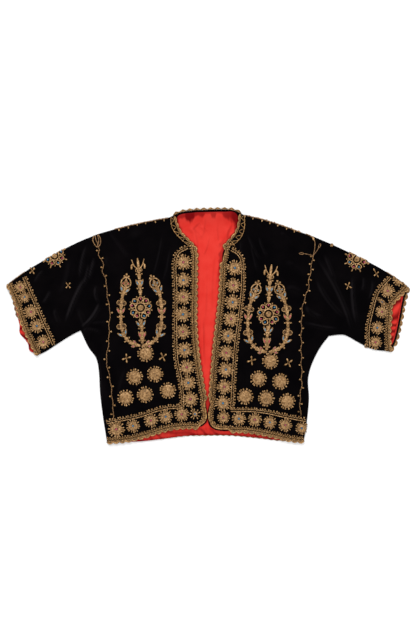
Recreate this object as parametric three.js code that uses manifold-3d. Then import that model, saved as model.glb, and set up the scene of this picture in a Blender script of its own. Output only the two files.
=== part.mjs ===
// Velvet bolero jacket of European folk dress, laid flat on its back.
// Units are millimetres. +X is the wearer's left, +Y is towards the collar, +Z is up.
// The origin is the middle of the underside, which lies in the plane z = 0.
import * as THREE from 'three'
import { mergeVertices } from 'three/addons/utils/BufferGeometryUtils.js'
import Module from 'manifold-3d'

const wasm = await Module()
wasm.setup()

// ---- Driving dimensions ------------------------------------------------------------

const seamGap = 0.3          // clear space where two pieces meet
const velvetThick = 1.5      // back, sleeves
const liningThick = 1        // satin with its interlining
const frontThick = 2         // velvet with the front's own lining
const trimThick = 1.6        // braid, cord and rosettes
const bossThick = 2.4        // the raised middle of a coil rosette
const sleeveRound = 0.018    // part of the sleeve's width in which its edge rounds over
const wallRound = 0.55 * sleeveRound // the same for the inner side of a sleeve's wall
const turnedEdge = 0.03      // part of a front in which its shoulder and side edges turn down

// levels of the layers, from the surface up
const liningUnder = velvetThick + seamGap
const frontUnder = liningUnder + liningThick + seamGap
const frontTop = frontUnder + frontThick
const trimUnder = frontTop + seamGap
const tipUnder = 0.3         // edging that shows past the back's edges stays just off the surface

// clear spaces beside the edging, in plan
const bandGap = 1.2 * seamGap // between the edging and the band inside it
const collarGap = 1.2 * seamGap // between the neck seam and the collar
const tipGap = 2 * seamGap   // between an edge of the back and the tips past it

// scalloped edging
const edgingOnPanel = 7      // braid that lies on the panel
const edgingPast = 2.5       // braid past the panel's edge
const scallopDepth = 4
const scallopPitch = 15
const hemTips = { past: 1, depth: 2.5 } // the smaller tips at the back's hem
const frontCorner = { x: 27, y: -168, inset: 1.5 } // where the edging draws back from the edge

// rosettes, crosses and cords
const rosetteRadius = 18.5
const rosettePicot = 2.5
const bandLobes = 8
const coilLobes = 9
const coilSides = 4          // two points to each
const coilReach = rosetteRadius + 1 // to the tips of a coil rosette's picots
const coilRadius = 12
const cornerStarRadius = 13
const cornerStarWaist = 8
const medallionRadius = 26
const petalDepth = 7         // how far the medallion narrows between two petals
const petals = 10
const sleevePetals = 12
const crossReach = 10
const crossWaist = 0.3       // part of a cross's reach at which its arms part
const braidWidth = 9
const cordWidth = 3.2
const cordStep = 6
const studReach = 3.4        // how far a stud stands out from its cord's side
const studStep = 7
const prongWidth = 4.5

// what is left bare at each end of a cuff, as a part of its width
const cuffBare = { front: 0.012, back: 0.05, steps: 16 }

// the red lining seen inside a cuff, as parts of the sleeve's width and length
const cuffLining = { from: 0.06, across: 0.88, start: 0.6, along: 0.385 }

// trim on the front of the collar: lanes and ends are parts of its width and length
const collarTrim = {
  edging: 5, cord: 2.6, cordLane: 0.14, cordFrom: 0.02, cordLength: 0.94, cordSteps: 6,
  zigzag: 2, teeth: 11, lowLane: 0.2, highLane: 0.7, zigzagFrom: 0.03, zigzagLength: 0.92,
  bareEnd: 0.05,
}

// number of steps along the shared edges
const steps = { neck: 6, centre: 10, armhole: 8, side: 9, shoulder: 9, along: 7 }

// ---- Outlines of the cut pieces ------------------------------------------------------

// One row is one point of an edge, x and y in millimetres. Right and left are the wearer's.
const right = {
  shoulder: [
    { x: -82, y: 237 }, { x: -118, y: 230 }, { x: -157, y: 222 }, { x: -199, y: 212 },
    { x: -241, y: 200 },
  ],
  neck: [
    { x: -82, y: 237 }, { x: -80, y: 217 }, { x: -72, y: 202 }, { x: -58, y: 187 },
    { x: -44, y: 175 },
  ],
  collarEdge: [
    { x: -74, y: 238 }, { x: -69, y: 221 }, { x: -61, y: 204 }, { x: -46, y: 188 },
    { x: -31, y: 173 },
  ],
  centre: [
    { x: -30, y: 171 }, { x: -27, y: 158 }, { x: -27, y: 135 }, { x: -28, y: 60 },
    { x: -28, y: -5 }, { x: -21, y: -80 }, { x: -13, y: -135 }, { x: -5, y: -178 },
    { x: -2, y: -198 }, { x: -4, y: -211 }, { x: -14, y: -219 },
  ],
  hem: [
    { x: -14, y: -219 }, { x: -40, y: -221 }, { x: -76, y: -225 }, { x: -104, y: -232 },
    { x: -132, y: -241 }, { x: -172, y: -251 }, { x: -221, y: -256 },
  ],
  armhole: [
    { x: -241, y: 200 }, { x: -237, y: 161 }, { x: -228, y: 121 }, { x: -224, y: 82 },
    { x: -232, y: 51 }, { x: -254, y: 20 }, { x: -279, y: -12 },
  ],
  side: [
    { x: -279, y: -12 }, { x: -261, y: -50 }, { x: -245, y: -72 }, { x: -239, y: -100 },
    { x: -236, y: -150 }, { x: -230, y: -200 }, { x: -221, y: -256 },
  ],
  sleeveTop: [
    { x: -241, y: 200 }, { x: -289, y: 180 }, { x: -342, y: 152 }, { x: -395, y: 121 },
    { x: -438, y: 90 },
  ],
  sleeveUnder: [
    { x: -279, y: -12 }, { x: -302, y: -24 }, { x: -329, y: -41 }, { x: -355, y: -58 },
    { x: -372, y: -66 },
  ],
  cuffFront: [
    { x: -438, y: 90 }, { x: -427, y: 69 }, { x: -418, y: 48 }, { x: -407, y: 9 },
    { x: -391, y: -28 }, { x: -372, y: -66 },
  ],
  cuffBack: [
    { x: -438, y: 90 }, { x: -429, y: 66 }, { x: -420, y: 30 }, { x: -413, y: 0 },
    { x: -398, y: -36 }, { x: -372, y: -66 },
  ],
}

const left = {
  shoulder: [
    { x: 82, y: 241 }, { x: 120, y: 233 }, { x: 160, y: 220 }, { x: 199, y: 206 },
    { x: 234, y: 194 },
  ],
  neck: [
    { x: 82, y: 241 }, { x: 83, y: 225 }, { x: 81, y: 207 }, { x: 73, y: 190 },
    { x: 60, y: 177 },
  ],
  collarEdge: [
    { x: 73, y: 243 }, { x: 71, y: 226 }, { x: 67, y: 209 }, { x: 57, y: 193 },
    { x: 43, y: 178 },
  ],
  centre: [
    { x: 43, y: 175 }, { x: 40, y: 160 }, { x: 36, y: 138 }, { x: 31, y: 80 },
    { x: 24, y: 10 }, { x: 17, y: -50 }, { x: 12, y: -110 }, { x: 8, y: -165 },
    { x: 3, y: -190 }, { x: 2, y: -207 }, { x: 6, y: -219 }, { x: 17, y: -227 },
  ],
  hem: [
    { x: 17, y: -227 }, { x: 56, y: -230 }, { x: 95, y: -233 }, { x: 139, y: -241 },
    { x: 183, y: -251 }, { x: 212, y: -254 },
  ],
  armhole: [
    { x: 234, y: 194 }, { x: 232, y: 158 }, { x: 223, y: 120 }, { x: 217, y: 82 },
    { x: 220, y: 50 }, { x: 240, y: 15 }, { x: 267, y: -24 },
  ],
  side: [
    { x: 267, y: -24 }, { x: 246, y: -52 }, { x: 227, y: -92 }, { x: 221, y: -120 },
    { x: 223, y: -160 }, { x: 219, y: -208 }, { x: 212, y: -254 },
  ],
  sleeveTop: [
    { x: 234, y: 194 }, { x: 278, y: 175 }, { x: 331, y: 150 }, { x: 386, y: 121 },
    { x: 440, y: 84 },
  ],
  sleeveUnder: [
    { x: 267, y: -24 }, { x: 300, y: -22 }, { x: 331, y: -38 }, { x: 362, y: -53 },
    { x: 399, y: -58 },
  ],
  cuffFront: [
    { x: 440, y: 84 }, { x: 420, y: 64 }, { x: 402, y: 44 }, { x: 400, y: 18 },
    { x: 397, y: -20 }, { x: 399, y: -58 },
  ],
  cuffBack: [
    { x: 440, y: 84 }, { x: 431, y: 50 }, { x: 424, y: 12 }, { x: 417, y: -20 },
    { x: 410, y: -42 }, { x: 399, y: -58 },
  ],
}

const backNeck = [
  { x: -82, y: 237 }, { x: -66, y: 228 }, { x: -34, y: 225 }, { x: 0, y: 226 },
  { x: 36, y: 227 }, { x: 65, y: 231 }, { x: 82, y: 241 },
]
const backCollarEdge = [
  { x: -75, y: 241 }, { x: -60, y: 246 }, { x: -34, y: 249 }, { x: 0, y: 251 },
  { x: 34, y: 251 }, { x: 58, y: 249 }, { x: 74, y: 244 },
]
const backHem = [
  { x: -221, y: -256 }, { x: -170, y: -254 }, { x: -110, y: -249 }, { x: -45, y: -242 },
  { x: 0, y: -241 }, { x: 45, y: -241 }, { x: 105, y: -246 }, { x: 165, y: -253 },
  { x: 212, y: -254 },
]

// The back's lining stays clear of the turned edges at the shoulders and sides.
const lining = {
  top: [
    { x: -214, y: 180 }, { x: -120, y: 203 }, { x: -78, y: 210 }, { x: -64, y: 234 },
    { x: -34, y: 242 }, { x: 0, y: 245 }, { x: 34, y: 245 }, { x: 62, y: 240 },
    { x: 80, y: 214 }, { x: 120, y: 206 }, { x: 208, y: 174 },
  ],
  rightSide: [
    { x: -214, y: 180 }, { x: -206, y: 120 }, { x: -202, y: 60 }, { x: -212, y: 0 },
    { x: -214, y: -60 }, { x: -212, y: -120 }, { x: -206, y: -180 }, { x: -198, y: -253 },
  ],
  leftSide: [
    { x: 208, y: 174 }, { x: 200, y: 120 }, { x: 196, y: 60 }, { x: 204, y: 0 },
    { x: 206, y: -60 }, { x: 198, y: -120 }, { x: 198, y: -180 }, { x: 190, y: -252 },
  ],
  hem: [
    { x: -198, y: -253 }, { x: -150, y: -251 }, { x: -100, y: -246 }, { x: -45, y: -240 },
    { x: 0, y: -239 }, { x: 45, y: -239 }, { x: 100, y: -243 }, { x: 150, y: -249 },
    { x: 190, y: -252 },
  ],
}

// Folds of the top layer: a soft ridge from one point to another.
const folds = [
  { fromX: -262, fromY: 160, toX: -270, toY: 75, rise: 1.8, half: 19 },
  { fromX: -280, fromY: 52, toX: -308, toY: 8, rise: 1.8, half: 19 },
  { fromX: -258, fromY: -8, toX: -250, toY: -44, rise: 2.8, half: 15 },
  { fromX: 256, fromY: 150, toX: 272, toY: 60, rise: 1.8, half: 19 },
  { fromX: 292, fromY: 48, toX: 322, toY: 0, rise: 1.8, half: 20 },
  { fromX: 249, fromY: -16, toX: 240, toY: -46, rise: 2.6, half: 14 },
]

// ---- Embroidery laid on the panels ---------------------------------------------------

const rightTrim = {
  innerBraid: [
    { x: -45, y: 172 }, { x: -64, y: 161 }, { x: -72, y: 145 }, { x: -71, y: 60 },
    { x: -72, y: -7 }, { x: -69, y: -79 }, { x: -61, y: -118 }, { x: -57, y: -155 },
    { x: -56, y: -180 },
  ],
  hemBraid: [
    { x: -52, y: -178 }, { x: -85, y: -180 }, { x: -113, y: -186 }, { x: -148, y: -198 },
    { x: -186, y: -206 }, { x: -222, y: -213 },
  ],
  frontRosettes: { count: 9, path: [
    { x: -53, y: 139 }, { x: -53, y: 23 }, { x: -51, y: -50 }, { x: -43, y: -120 },
    { x: -37, y: -162 },
  ] },
  hemRosettes: [
    { x: -58, y: -198 }, { x: -92, y: -203 }, { x: -126, y: -211 }, { x: -164, y: -221 },
    { x: -201, y: -231 },
  ],
  cornerStar: { x: -30, y: -194 },
  cuffBraid: [
    { x: -402, y: 106 }, { x: -388, y: 74 }, { x: -368, y: 28 }, { x: -352, y: -8 },
    { x: -337, y: -42 },
  ],
  cuffRosettes: { count: 5, path: [
    { x: -410, y: 84 }, { x: -395, y: 47 }, { x: -379, y: 8 }, { x: -362, y: -36 },
  ] },
  coilRosettes: [
    { x: -137, y: -65 }, { x: -160, y: -114 }, { x: -115, y: -108 }, { x: -180, y: -160 },
    { x: -137, y: -153 }, { x: -87, y: -144 },
  ],
  crosses: [{ x: -178, y: -73 }, { x: -98, y: -70 }],
  sleeveCrosses: [{ x: -384, y: 118 }, { x: -307, y: 87 }],
  wreath: { x: -147, y: 38, mirror: 1 },
  sleeveMedallion: { x: -336, y: 147 },
  vine: [
    { x: -234, y: 190 }, { x: -231, y: 160 }, { x: -223, y: 124 }, { x: -218, y: 92 },
    { x: -218, y: 76 }, { x: -214, y: 45 }, { x: -213, y: 5 }, { x: -217, y: -37 },
    { x: -222, y: -78 }, { x: -213, y: -125 }, { x: -209, y: -165 }, { x: -207, y: -197 },
  ],
  shoulderCord: [
    { x: -90, y: 231 }, { x: -118, y: 226 }, { x: -157, y: 218 }, { x: -199, y: 208 },
    { x: -228, y: 199 },
  ],
}

const leftTrim = {
  innerBraid: [
    { x: 53, y: 167 }, { x: 66, y: 160 }, { x: 76, y: 146 }, { x: 79, y: 120 },
    { x: 78, y: 75 }, { x: 70, y: 5 }, { x: 63, y: -50 }, { x: 58, y: -125 },
    { x: 55, y: -186 },
  ],
  hemBraid: [
    { x: 51, y: -186 }, { x: 93, y: -186 }, { x: 129, y: -190 }, { x: 166, y: -198 },
    { x: 215, y: -208 },
  ],
  frontRosettes: { count: 9, path: [
    { x: 60, y: 126 }, { x: 55, y: 50 }, { x: 46, y: -23 }, { x: 40, y: -98 },
    { x: 34, y: -172 },
  ] },
  hemRosettes: [
    { x: 35, y: -203 }, { x: 69, y: -206 }, { x: 104, y: -208 }, { x: 137, y: -214 },
    { x: 171, y: -220 }, { x: 200, y: -226 },
  ],
  cuffBraid: [
    { x: 400, y: 106 }, { x: 373, y: 74 }, { x: 360, y: 33 }, { x: 351, y: -12 },
    { x: 352, y: -50 },
  ],
  cuffRosettes: { count: 5, path: [
    { x: 413, y: 92 }, { x: 389, y: 64 }, { x: 379, y: 28 }, { x: 373, y: -7 },
    { x: 373, y: -38 },
  ] },
  coilRosettes: [
    { x: 138, y: -79 }, { x: 112, y: -118 }, { x: 160, y: -124 }, { x: 83, y: -157 },
    { x: 129, y: -161 }, { x: 175, y: -168 },
  ],
  crosses: [{ x: 97, y: -78 }, { x: 178, y: -83 }],
  sleeveCrosses: [{ x: 371, y: 112 }, { x: 310, y: 85 }],
  wreath: { x: 134, y: 23, mirror: -1 },
  sleeveMedallion: { x: 328, y: 143 },
  vine: [
    { x: 229, y: 184 }, { x: 227, y: 158 }, { x: 218, y: 122 }, { x: 212, y: 92 },
    { x: 211, y: 70 }, { x: 209, y: 40 }, { x: 206, y: 12 }, { x: 206, y: -30 },
    { x: 206, y: -75 }, { x: 207, y: -125 }, { x: 203, y: -165 }, { x: 204, y: -192 },
  ],
  shoulderCord: [
    { x: 90, y: 235 }, { x: 120, y: 229 }, { x: 160, y: 216 }, { x: 199, y: 202 },
    { x: 222, y: 194 },
  ],
}

// A tree in a wreath, from the middle of its medallion. Its sides are mirror images.
const wreath = {
  stem: [{ x: 0, y: 60 }, { x: 0, y: 0 }, { x: 2, y: -78 }],
  branch: [
    { x: 2, y: -75 }, { x: 22, y: -74 }, { x: 38, y: -60 }, { x: 44, y: -36 },
    { x: 44, y: 2 }, { x: 40, y: 28 }, { x: 32, y: 48 },
  ],
  prongs: [
    [{ x: 0, y: 56 }, { x: -12, y: 74 }, { x: -20, y: 102 }],
    [{ x: 0, y: 56 }, { x: -1, y: 80 }, { x: -4, y: 107 }],
    [{ x: 0, y: 56 }, { x: 11, y: 76 }, { x: 12, y: 104 }],
  ],
  budAt: { x: 29, y: 60 },
  budReach: 17,
  budHalf: 8,
  beadPitch: 13,
  beadHalf: 4.6,
  stemHalf: 2.2,
}

// ---- Curves and closed bodies ----------------------------------------------------------

function curveOf(rows) {
  const points = rows.map(row => new THREE.Vector3(row.x, row.y, 0))
  return new THREE.CatmullRomCurve3(points, false, 'centripetal')
}

// Points of a curve in even steps of its own parameter, so that close rows give close points.
function stations(rows, count) {
  const curve = curveOf(rows)
  return Array.from({ length: count + 1 }, (_, k) => curve.getPoint(k / count))
}

// A point of a polyline at 0..1 of its stations.
function onStations(points, t) {
  const place = t * (points.length - 1)
  const k = Math.min(Math.floor(place), points.length - 2)
  return points[k].clone().lerp(points[k + 1], place - k)
}

// A point inside four edges: near(v) and far(v) run down, top(u) and bottom(u) run across.
function patchPoint(edges, u, v) {
  const near = onStations(edges.near, v)
  const far = onStations(edges.far, v)
  const top = onStations(edges.top, u)
  const bottom = onStations(edges.bottom, u)
  const corners = [
    [edges.near[0], (1 - u) * (1 - v)], [edges.far[0], u * (1 - v)],
    [edges.near.at(-1), (1 - u) * v], [edges.far.at(-1), u * v],
  ]
  const point = new THREE.Vector3()
  point.addScaledVector(near, 1 - u).addScaledVector(far, u)
  point.addScaledVector(top, 1 - v).addScaledVector(bottom, v)
  for (const [corner, share] of corners) point.addScaledVector(corner, -share)
  return point
}

function geometryOf(positions, triangles) {
  const geometry = new THREE.BufferGeometry()
  geometry.setAttribute('position', new THREE.Float32BufferAttribute(positions, 3))
  geometry.setIndex(triangles)
  return geometry
}

function quad(triangles, a, b, c, d) {
  triangles.push(a, b, c, a, c, d)
}

function signedVolume(geometry) {
  const at = geometry.getAttribute('position')
  const index = geometry.getIndex().array
  const [a, b, c] = [new THREE.Vector3(), new THREE.Vector3(), new THREE.Vector3()]
  let sum = 0
  for (let i = 0; i < index.length; i += 3) {
    a.fromBufferAttribute(at, index[i])
    b.fromBufferAttribute(at, index[i + 1])
    c.fromBufferAttribute(at, index[i + 2])
    sum += a.dot(b.cross(c))
  }
  return sum
}

// Turns a closed body's triangles over when they face in, as a mirrored piece's do.
function facingOut(geometry) {
  if (signedVolume(geometry) < 0) geometry.getIndex().array.reverse()
  return geometry
}

const evenSteps = count => Array.from({ length: count + 1 }, (_, k) => k / count)

// A closed sheet over a grid whose lines lie at the values us across and vs down:
// place(u, v) gives its plan, upper and under its two heights.
function sheet({ us, vs, place, upper, under }) {
  const positions = []
  const triangles = []
  const across = us.length - 1
  const down = vs.length - 1
  const width = across + 1
  const lower = width * (down + 1)
  for (const height of [upper, under]) {
    for (const v of vs) {
      for (const u of us) {
        const point = place(u, v)
        positions.push(point.x, point.y, height(point, u, v))
      }
    }
  }
  for (let j = 0; j < down; j++) {
    for (let i = 0; i < across; i++) {
      const a = j * width + i
      quad(triangles, a, a + width, a + width + 1, a + 1)
      quad(triangles, lower + a, lower + a + 1, lower + a + width + 1, lower + a + width)
    }
  }
  const rim = []
  for (let i = 0; i < across; i++) rim.push(i)
  for (let j = 0; j < down; j++) rim.push(j * width + across)
  for (let i = across; i > 0; i--) rim.push(down * width + i)
  for (let j = down; j > 0; j--) rim.push(j * width)
  rim.forEach((a, k) => {
    const b = rim[(k + 1) % rim.length]
    quad(triangles, a, b, lower + b, lower + a)
  })
  return facingOut(geometryOf(positions, triangles))
}

function foldRise(point) {
  let rise = 0
  for (const fold of folds) {
    const along = new THREE.Vector2(fold.toX - fold.fromX, fold.toY - fold.fromY)
    const offset = new THREE.Vector2(point.x - fold.fromX, point.y - fold.fromY)
    const t = THREE.MathUtils.clamp(offset.dot(along) / along.lengthSq(), 0, 1)
    const away = offset.addScaledVector(along, -t).length() / fold.half
    if (away < 1) rise = Math.max(rise, fold.rise * 0.5 * (1 + Math.cos(Math.PI * away)))
  }
  return rise
}

// ---- Flat trim: outlines in plan, extruded, joined and cut -----------------------------

function plate(outline, thick) {
  const shape = new THREE.Shape(outline.map(point => new THREE.Vector2(point.x, point.y)))
  return new THREE.ExtrudeGeometry(shape, { depth: thick, bevelEnabled: false, curveSegments: 1 })
}

function solidOf(geometry) {
  geometry.deleteAttribute('normal')
  geometry.deleteAttribute('uv')
  const merged = mergeVertices(geometry, 1e-4)
  return new wasm.Manifold(new wasm.Mesh({
    numProp: 3,
    vertProperties: new Float32Array(merged.getAttribute('position').array),
    triVerts: new Uint32Array(merged.getIndex().array),
  }))
}

function joined(parts) {
  return parts.map(solidOf).reduce((whole, part) => whole.add(part))
}

function geometryOfSolid(solid) {
  const mesh = solid.getMesh()
  return geometryOf(Array.from(mesh.vertProperties), Array.from(mesh.triVerts))
}

// A flat strip along a curve. near and far give its two widths at each step along it,
// and a side of even width takes only every third step.
function strip(rows, { step, near, far, thick }) {
  const curve = curveOf(rows)
  curve.arcLengthDivisions = 400
  const length = curve.getLength()
  const count = Math.max(2, Math.round(length / step))
  const nearSide = []
  const farSide = []
  for (let k = 0; k <= count; k++) {
    const point = curve.getPointAt(k / count)
    const tangent = curve.getTangentAt(k / count)
    const normal = new THREE.Vector3(-tangent.y, tangent.x, 0).normalize()
    const kept = width => width.even !== true || k % 3 === 0 || k === count
    if (kept(near)) nearSide.push(point.clone().addScaledVector(normal, near(k, point)))
    if (kept(far)) farSide.push(point.clone().addScaledVector(normal, -far(k, point)))
  }
  return plate([...nearSide, ...farSide.reverse()], thick)
}

const constant = value => () => value
const evenly = value => Object.assign(() => value, { even: true })

// Scallops: two steps to each, low and high.
const scallops = (base, depth = scallopDepth) => k => base + (k % 2 ? depth : 0)

// At the lower front corner the edging has no scallops and the velvet shows past it.
function frontScallops(k, point) {
  const atCorner = Math.abs(point.x) < frontCorner.x && point.y < frontCorner.y
  return atCorner ? -frontCorner.inset : scallops(edgingPast)(k)
}

// Studs stand out in turn on one side and the other, three steps apart.
const studs = (half, turn) => k => half + (k % 3 === turn ? studReach : 0)

function star(place, inner, outer, lobes, turn = 0) {
  return Array.from({ length: lobes * 2 }, (_, k) => {
    const angle = turn + Math.PI * k / lobes
    const radius = k % 2 ? inner : outer
    return { x: place.x + radius * Math.cos(angle), y: place.y + radius * Math.sin(angle) }
  })
}

function alongPath({ count, path }) {
  const curve = curveOf(path)
  return Array.from({ length: count }, (_, k) => curve.getPointAt(k / (count - 1)))
}

// ---- Pieces ------------------------------------------------------------------------------

const finishes = {
  velvet: { color: '#0b090b', roughness: 0.95, metalness: 0 },
  satin: { color: '#d8332a', roughness: 0.45, metalness: 0 },
  gold: { color: '#a98752', roughness: 0.5, metalness: 0.6 },
}

const group = new THREE.Group()

function addPiece(name, geometry, kind, lift = 0) {
  const mesh = new THREE.Mesh(geometry, new THREE.MeshStandardMaterial(finishes[kind]))
  mesh.name = name
  mesh.position.z = lift
  group.add(mesh)
}

function addTrim(name, solid, lift = trimUnder) {
  addPiece(name, geometryOfSolid(solid), 'gold', lift)
}

// The edges of one half of the body, each as stations that its neighbours share.
function edgesOf(half) {
  const neck = stations(half.neck, steps.neck)
  const centre = stations(half.centre, steps.centre)
  const armhole = stations(half.armhole, steps.armhole)
  const side = stations(half.side, steps.side)
  return {
    neck,
    armhole,
    near: [...neck, ...centre],
    far: [...armhole, ...side.slice(1)],
    top: stations(half.shoulder, steps.shoulder),
    bottom: stations(half.hem, steps.shoulder),
  }
}

// A front lies on the lining, and its turned edge reaches down at the shoulder and side.
function addFront(name, half) {
  const edges = edgesOf(half)
  const armpit = steps.armhole / (edges.far.length - 1)
  const turned = (u, v) => v === 0 || (u === 1 && v > armpit - 1e-6)
  const us = evenSteps(steps.shoulder)
  const vs = evenSteps(edges.near.length - 1)
  us.splice(-1, 0, 1 - turnedEdge)
  vs.splice(1, 0, turnedEdge)
  addPiece(name, sheet({
    us,
    vs,
    place: (u, v) => patchPoint(edges, u, v),
    upper: point => frontTop + foldRise(point),
    under: (point, u, v) => (turned(u, v) ? liningUnder : frontUnder) + foldRise(point),
  }), 'velvet')
}

function addBack() {
  const rightEdges = edgesOf(right)
  const leftEdges = edgesOf(left)
  const shoulderSteps = 4
  const sideSteps = 3
  const top = [
    ...stations(right.shoulder, shoulderSteps).reverse(),
    ...stations(backNeck, steps.neck).slice(1, -1),
    ...stations(left.shoulder, shoulderSteps),
  ]
  const edges = {
    near: [...rightEdges.armhole, ...stations(right.side, sideSteps).slice(1)],
    far: [...leftEdges.armhole, ...stations(left.side, sideSteps).slice(1)],
    top,
    bottom: stations(backHem, top.length - 1),
  }
  addPiece('back', sheet({
    us: evenSteps(top.length - 1),
    vs: evenSteps(edges.near.length - 1),
    place: (u, v) => patchPoint(edges, u, v),
    upper: constant(velvetThick),
    under: constant(0),
  }), 'velvet')
}

function addBackLining() {
  const across = 14
  const down = 8
  const edges = {
    near: stations(lining.rightSide, down),
    far: stations(lining.leftSide, down),
    top: stations(lining.top, across),
    bottom: stations(lining.hem, across),
  }
  addPiece('back_lining', sheet({
    us: evenSteps(across),
    vs: evenSteps(down),
    place: (u, v) => patchPoint(edges, u, v),
    upper: constant(liningUnder + liningThick),
    under: constant(liningUnder),
  }), 'satin')
}

// The plan of a sleeve's front or back half: a is 0 at the top fold and 1 under the arm.
function sleevePlan(half, cuffRows) {
  const armhole = stations(half.armhole, steps.armhole)
  const edges = {
    near: stations(half.sleeveTop, steps.along),
    far: stations(half.sleeveUnder, steps.along),
    top: armhole,
    bottom: stations(cuffRows, steps.armhole),
  }
  const away = new THREE.Vector3(Math.sign(half.sleeveTop[0].x) * 1.5 * seamGap, seamGap, 0)
  return (a, s) => patchPoint(edges, a, s).addScaledVector(away, 1)
}

// A sleeve is a flattened tube: one ring of outer and one of inner points at every step.
function addSleeve(name, half) {
  const front = sleevePlan(half, half.cuffFront)
  const back = sleevePlan(half, half.cuffBack)
  const inside = Array.from({ length: steps.armhole - 1 }, (_, k) => (k + 1) / steps.armhole)
  const places = [0, sleeveRound, ...inside, 1 - sleeveRound, 1]
  const last = places.length - 1
  const middle = frontTop / 2
  const ring = []
  for (let i = 0; i <= last; i++) ring.push({ a: places[i], end: i === 0 || i === last, top: true })
  for (let i = last - 1; i > 0; i--) ring.push({ a: places[i], end: false, top: false })
  const positions = []
  const triangles = []
  const wallInside = a => THREE.MathUtils.clamp(a, wallRound, 1 - wallRound)
  for (const inner of [false, true]) {
    for (let j = 0; j <= steps.along; j++) {
      for (const { a, end, top } of ring) {
        const plan = top ? front : back
        const point = plan(inner ? wallInside(a) : a, j / steps.along)
        const outerZ = top ? frontTop + foldRise(point) : 0
        const innerZ = top ? outerZ - velvetThick : velvetThick
        positions.push(point.x, point.y, end ? middle : inner ? innerZ : outerZ)
      }
    }
  }
  const around = ring.length
  const innerStart = around * (steps.along + 1)
  for (let i = 0; i < around; i++) {
    const next = (i + 1) % around
    for (let j = 0; j < steps.along; j++) {
      const [a, b] = [j * around + i, j * around + next]
      quad(triangles, a, b, b + around, a + around)
      const [c, d] = [innerStart + a, innerStart + b]
      quad(triangles, d, c, c + around, d + around)
    }
    const cuff = steps.along * around
    quad(triangles, next, i, innerStart + i, innerStart + next)
    quad(triangles, cuff + i, cuff + next, innerStart + cuff + next, innerStart + cuff + i)
  }
  addPiece(name, facingOut(geometryOf(positions, triangles)), 'velvet')
}

function addSleeveLining(name, half) {
  const back = sleevePlan(half, half.cuffBack)
  const { from, across, start, along } = cuffLining
  addPiece(name, sheet({
    us: evenSteps(10),
    vs: evenSteps(3),
    place: (u, v) => back(from + across * u, start + along * v),
    upper: constant(liningUnder + liningThick),
    under: constant(liningUnder),
  }), 'satin')
}

// A strip of the collar between its seam and its free edge.
function addCollar(name, seam, edgeRows, under, thick) {
  const edge = stations(edgeRows, seam.length - 1)
  const inset = seam.map((point, k) => {
    const inward = edge[k].clone().sub(point).setLength(collarGap)
    return point.clone().add(inward)
  })
  addPiece(name, sheet({
    us: evenSteps(2),
    vs: evenSteps(seam.length - 1),
    place: (u, v) => onStations(inset, v).lerp(onStations(edge, v), u),
    upper: constant(under + thick),
    under: constant(under),
  }), 'velvet')
}

// The front of the collar stops just short of the seam at its lower end.
function frontCollarSeam(half) {
  const neck = edgesOf(half).neck
  const end = neck[steps.neck].clone().lerp(neck[steps.neck - 1], collarTrim.bareEnd)
  return [...neck.slice(0, steps.neck), end]
}

// ---- Trim ----------------------------------------------------------------------------------

// Scalloped edging on a panel's edge. side is 1 when the panel is to the left of the path.
function edging(rows, side, onPanel = edgingOnPanel) {
  const inside = evenly(onPanel)
  return solidOf(strip(rows, {
    step: scallopPitch / 2,
    near: side > 0 ? inside : frontScallops,
    far: side > 0 ? frontScallops : inside,
    thick: trimThick,
  }))
}

// Tips of the edging that stand past an edge of the back layer.
function edgingTips(rows, side, { past, depth } = { past: edgingPast, depth: scallopDepth }) {
  const inside = constant(-tipGap)
  const outside = scallops(past, depth)
  return solidOf(strip(rows, {
    step: scallopPitch / 2,
    near: side > 0 ? inside : outside,
    far: side > 0 ? outside : inside,
    thick: velvetThick - tipUnder,
  }))
}

function cord(rows, width = cordWidth) {
  const half = evenly(width / 2)
  return strip(rows, { step: cordStep, near: half, far: half, thick: trimThick })
}

function studdedCord(rows) {
  return strip(rows, {
    step: studStep,
    near: studs(cordWidth / 2, 0),
    far: studs(cordWidth / 2, 1),
    thick: trimThick,
  })
}

function rosette(place) {
  const outline = star(place, rosetteRadius - rosettePicot, rosetteRadius, bandLobes)
  return plate(outline, trimThick)
}

// A corner too tight for a rosette holds a small star.
function cornerStar(place) {
  return plate(star(place, cornerStarWaist, cornerStarRadius, 6), trimThick)
}

function addBorder(suffix, half, trim, side) {
  const edge = [...half.centre, ...half.hem.slice(1)]
  addTrim(`front_edging_${suffix}`, edging(edge, side))
  const band = joined([
    cord(trim.innerBraid, braidWidth),
    cord(trim.hemBraid, braidWidth),
    ...alongPath(trim.frontRosettes).map(rosette),
    ...trim.hemRosettes.map(rosette),
    ...(trim.cornerStar ? [cornerStar(trim.cornerStar)] : []),
  ])
  const cleared = band.subtract(edging(edge, side, edgingOnPanel + bandGap))
  addTrim(`front_band_${suffix}`, cleared)
}

function addCuff(suffix, half, trim, side) {
  const cuffLine = (rows, inset) => {
    const plan = sleevePlan(half, rows)
    return evenSteps(cuffBare.steps).map(t => plan(inset + (1 - 2 * inset) * t, 1))
  }
  const cuff = cuffLine(half.cuffFront, cuffBare.front)
  const backCuff = cuffLine(half.cuffBack, cuffBare.back)
  addTrim(`cuff_edging_${suffix}`, edging(cuff, side))
  addTrim(`cuff_edging_back_${suffix}`, edgingTips(backCuff, side), tipUnder)
  const rosettes = alongPath(trim.cuffRosettes).map(rosette)
  const band = joined([cord(trim.cuffBraid, braidWidth), ...rosettes])
  addTrim(`cuff_band_${suffix}`, band.subtract(edging(cuff, side, edgingOnPanel + bandGap)))
}

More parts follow.
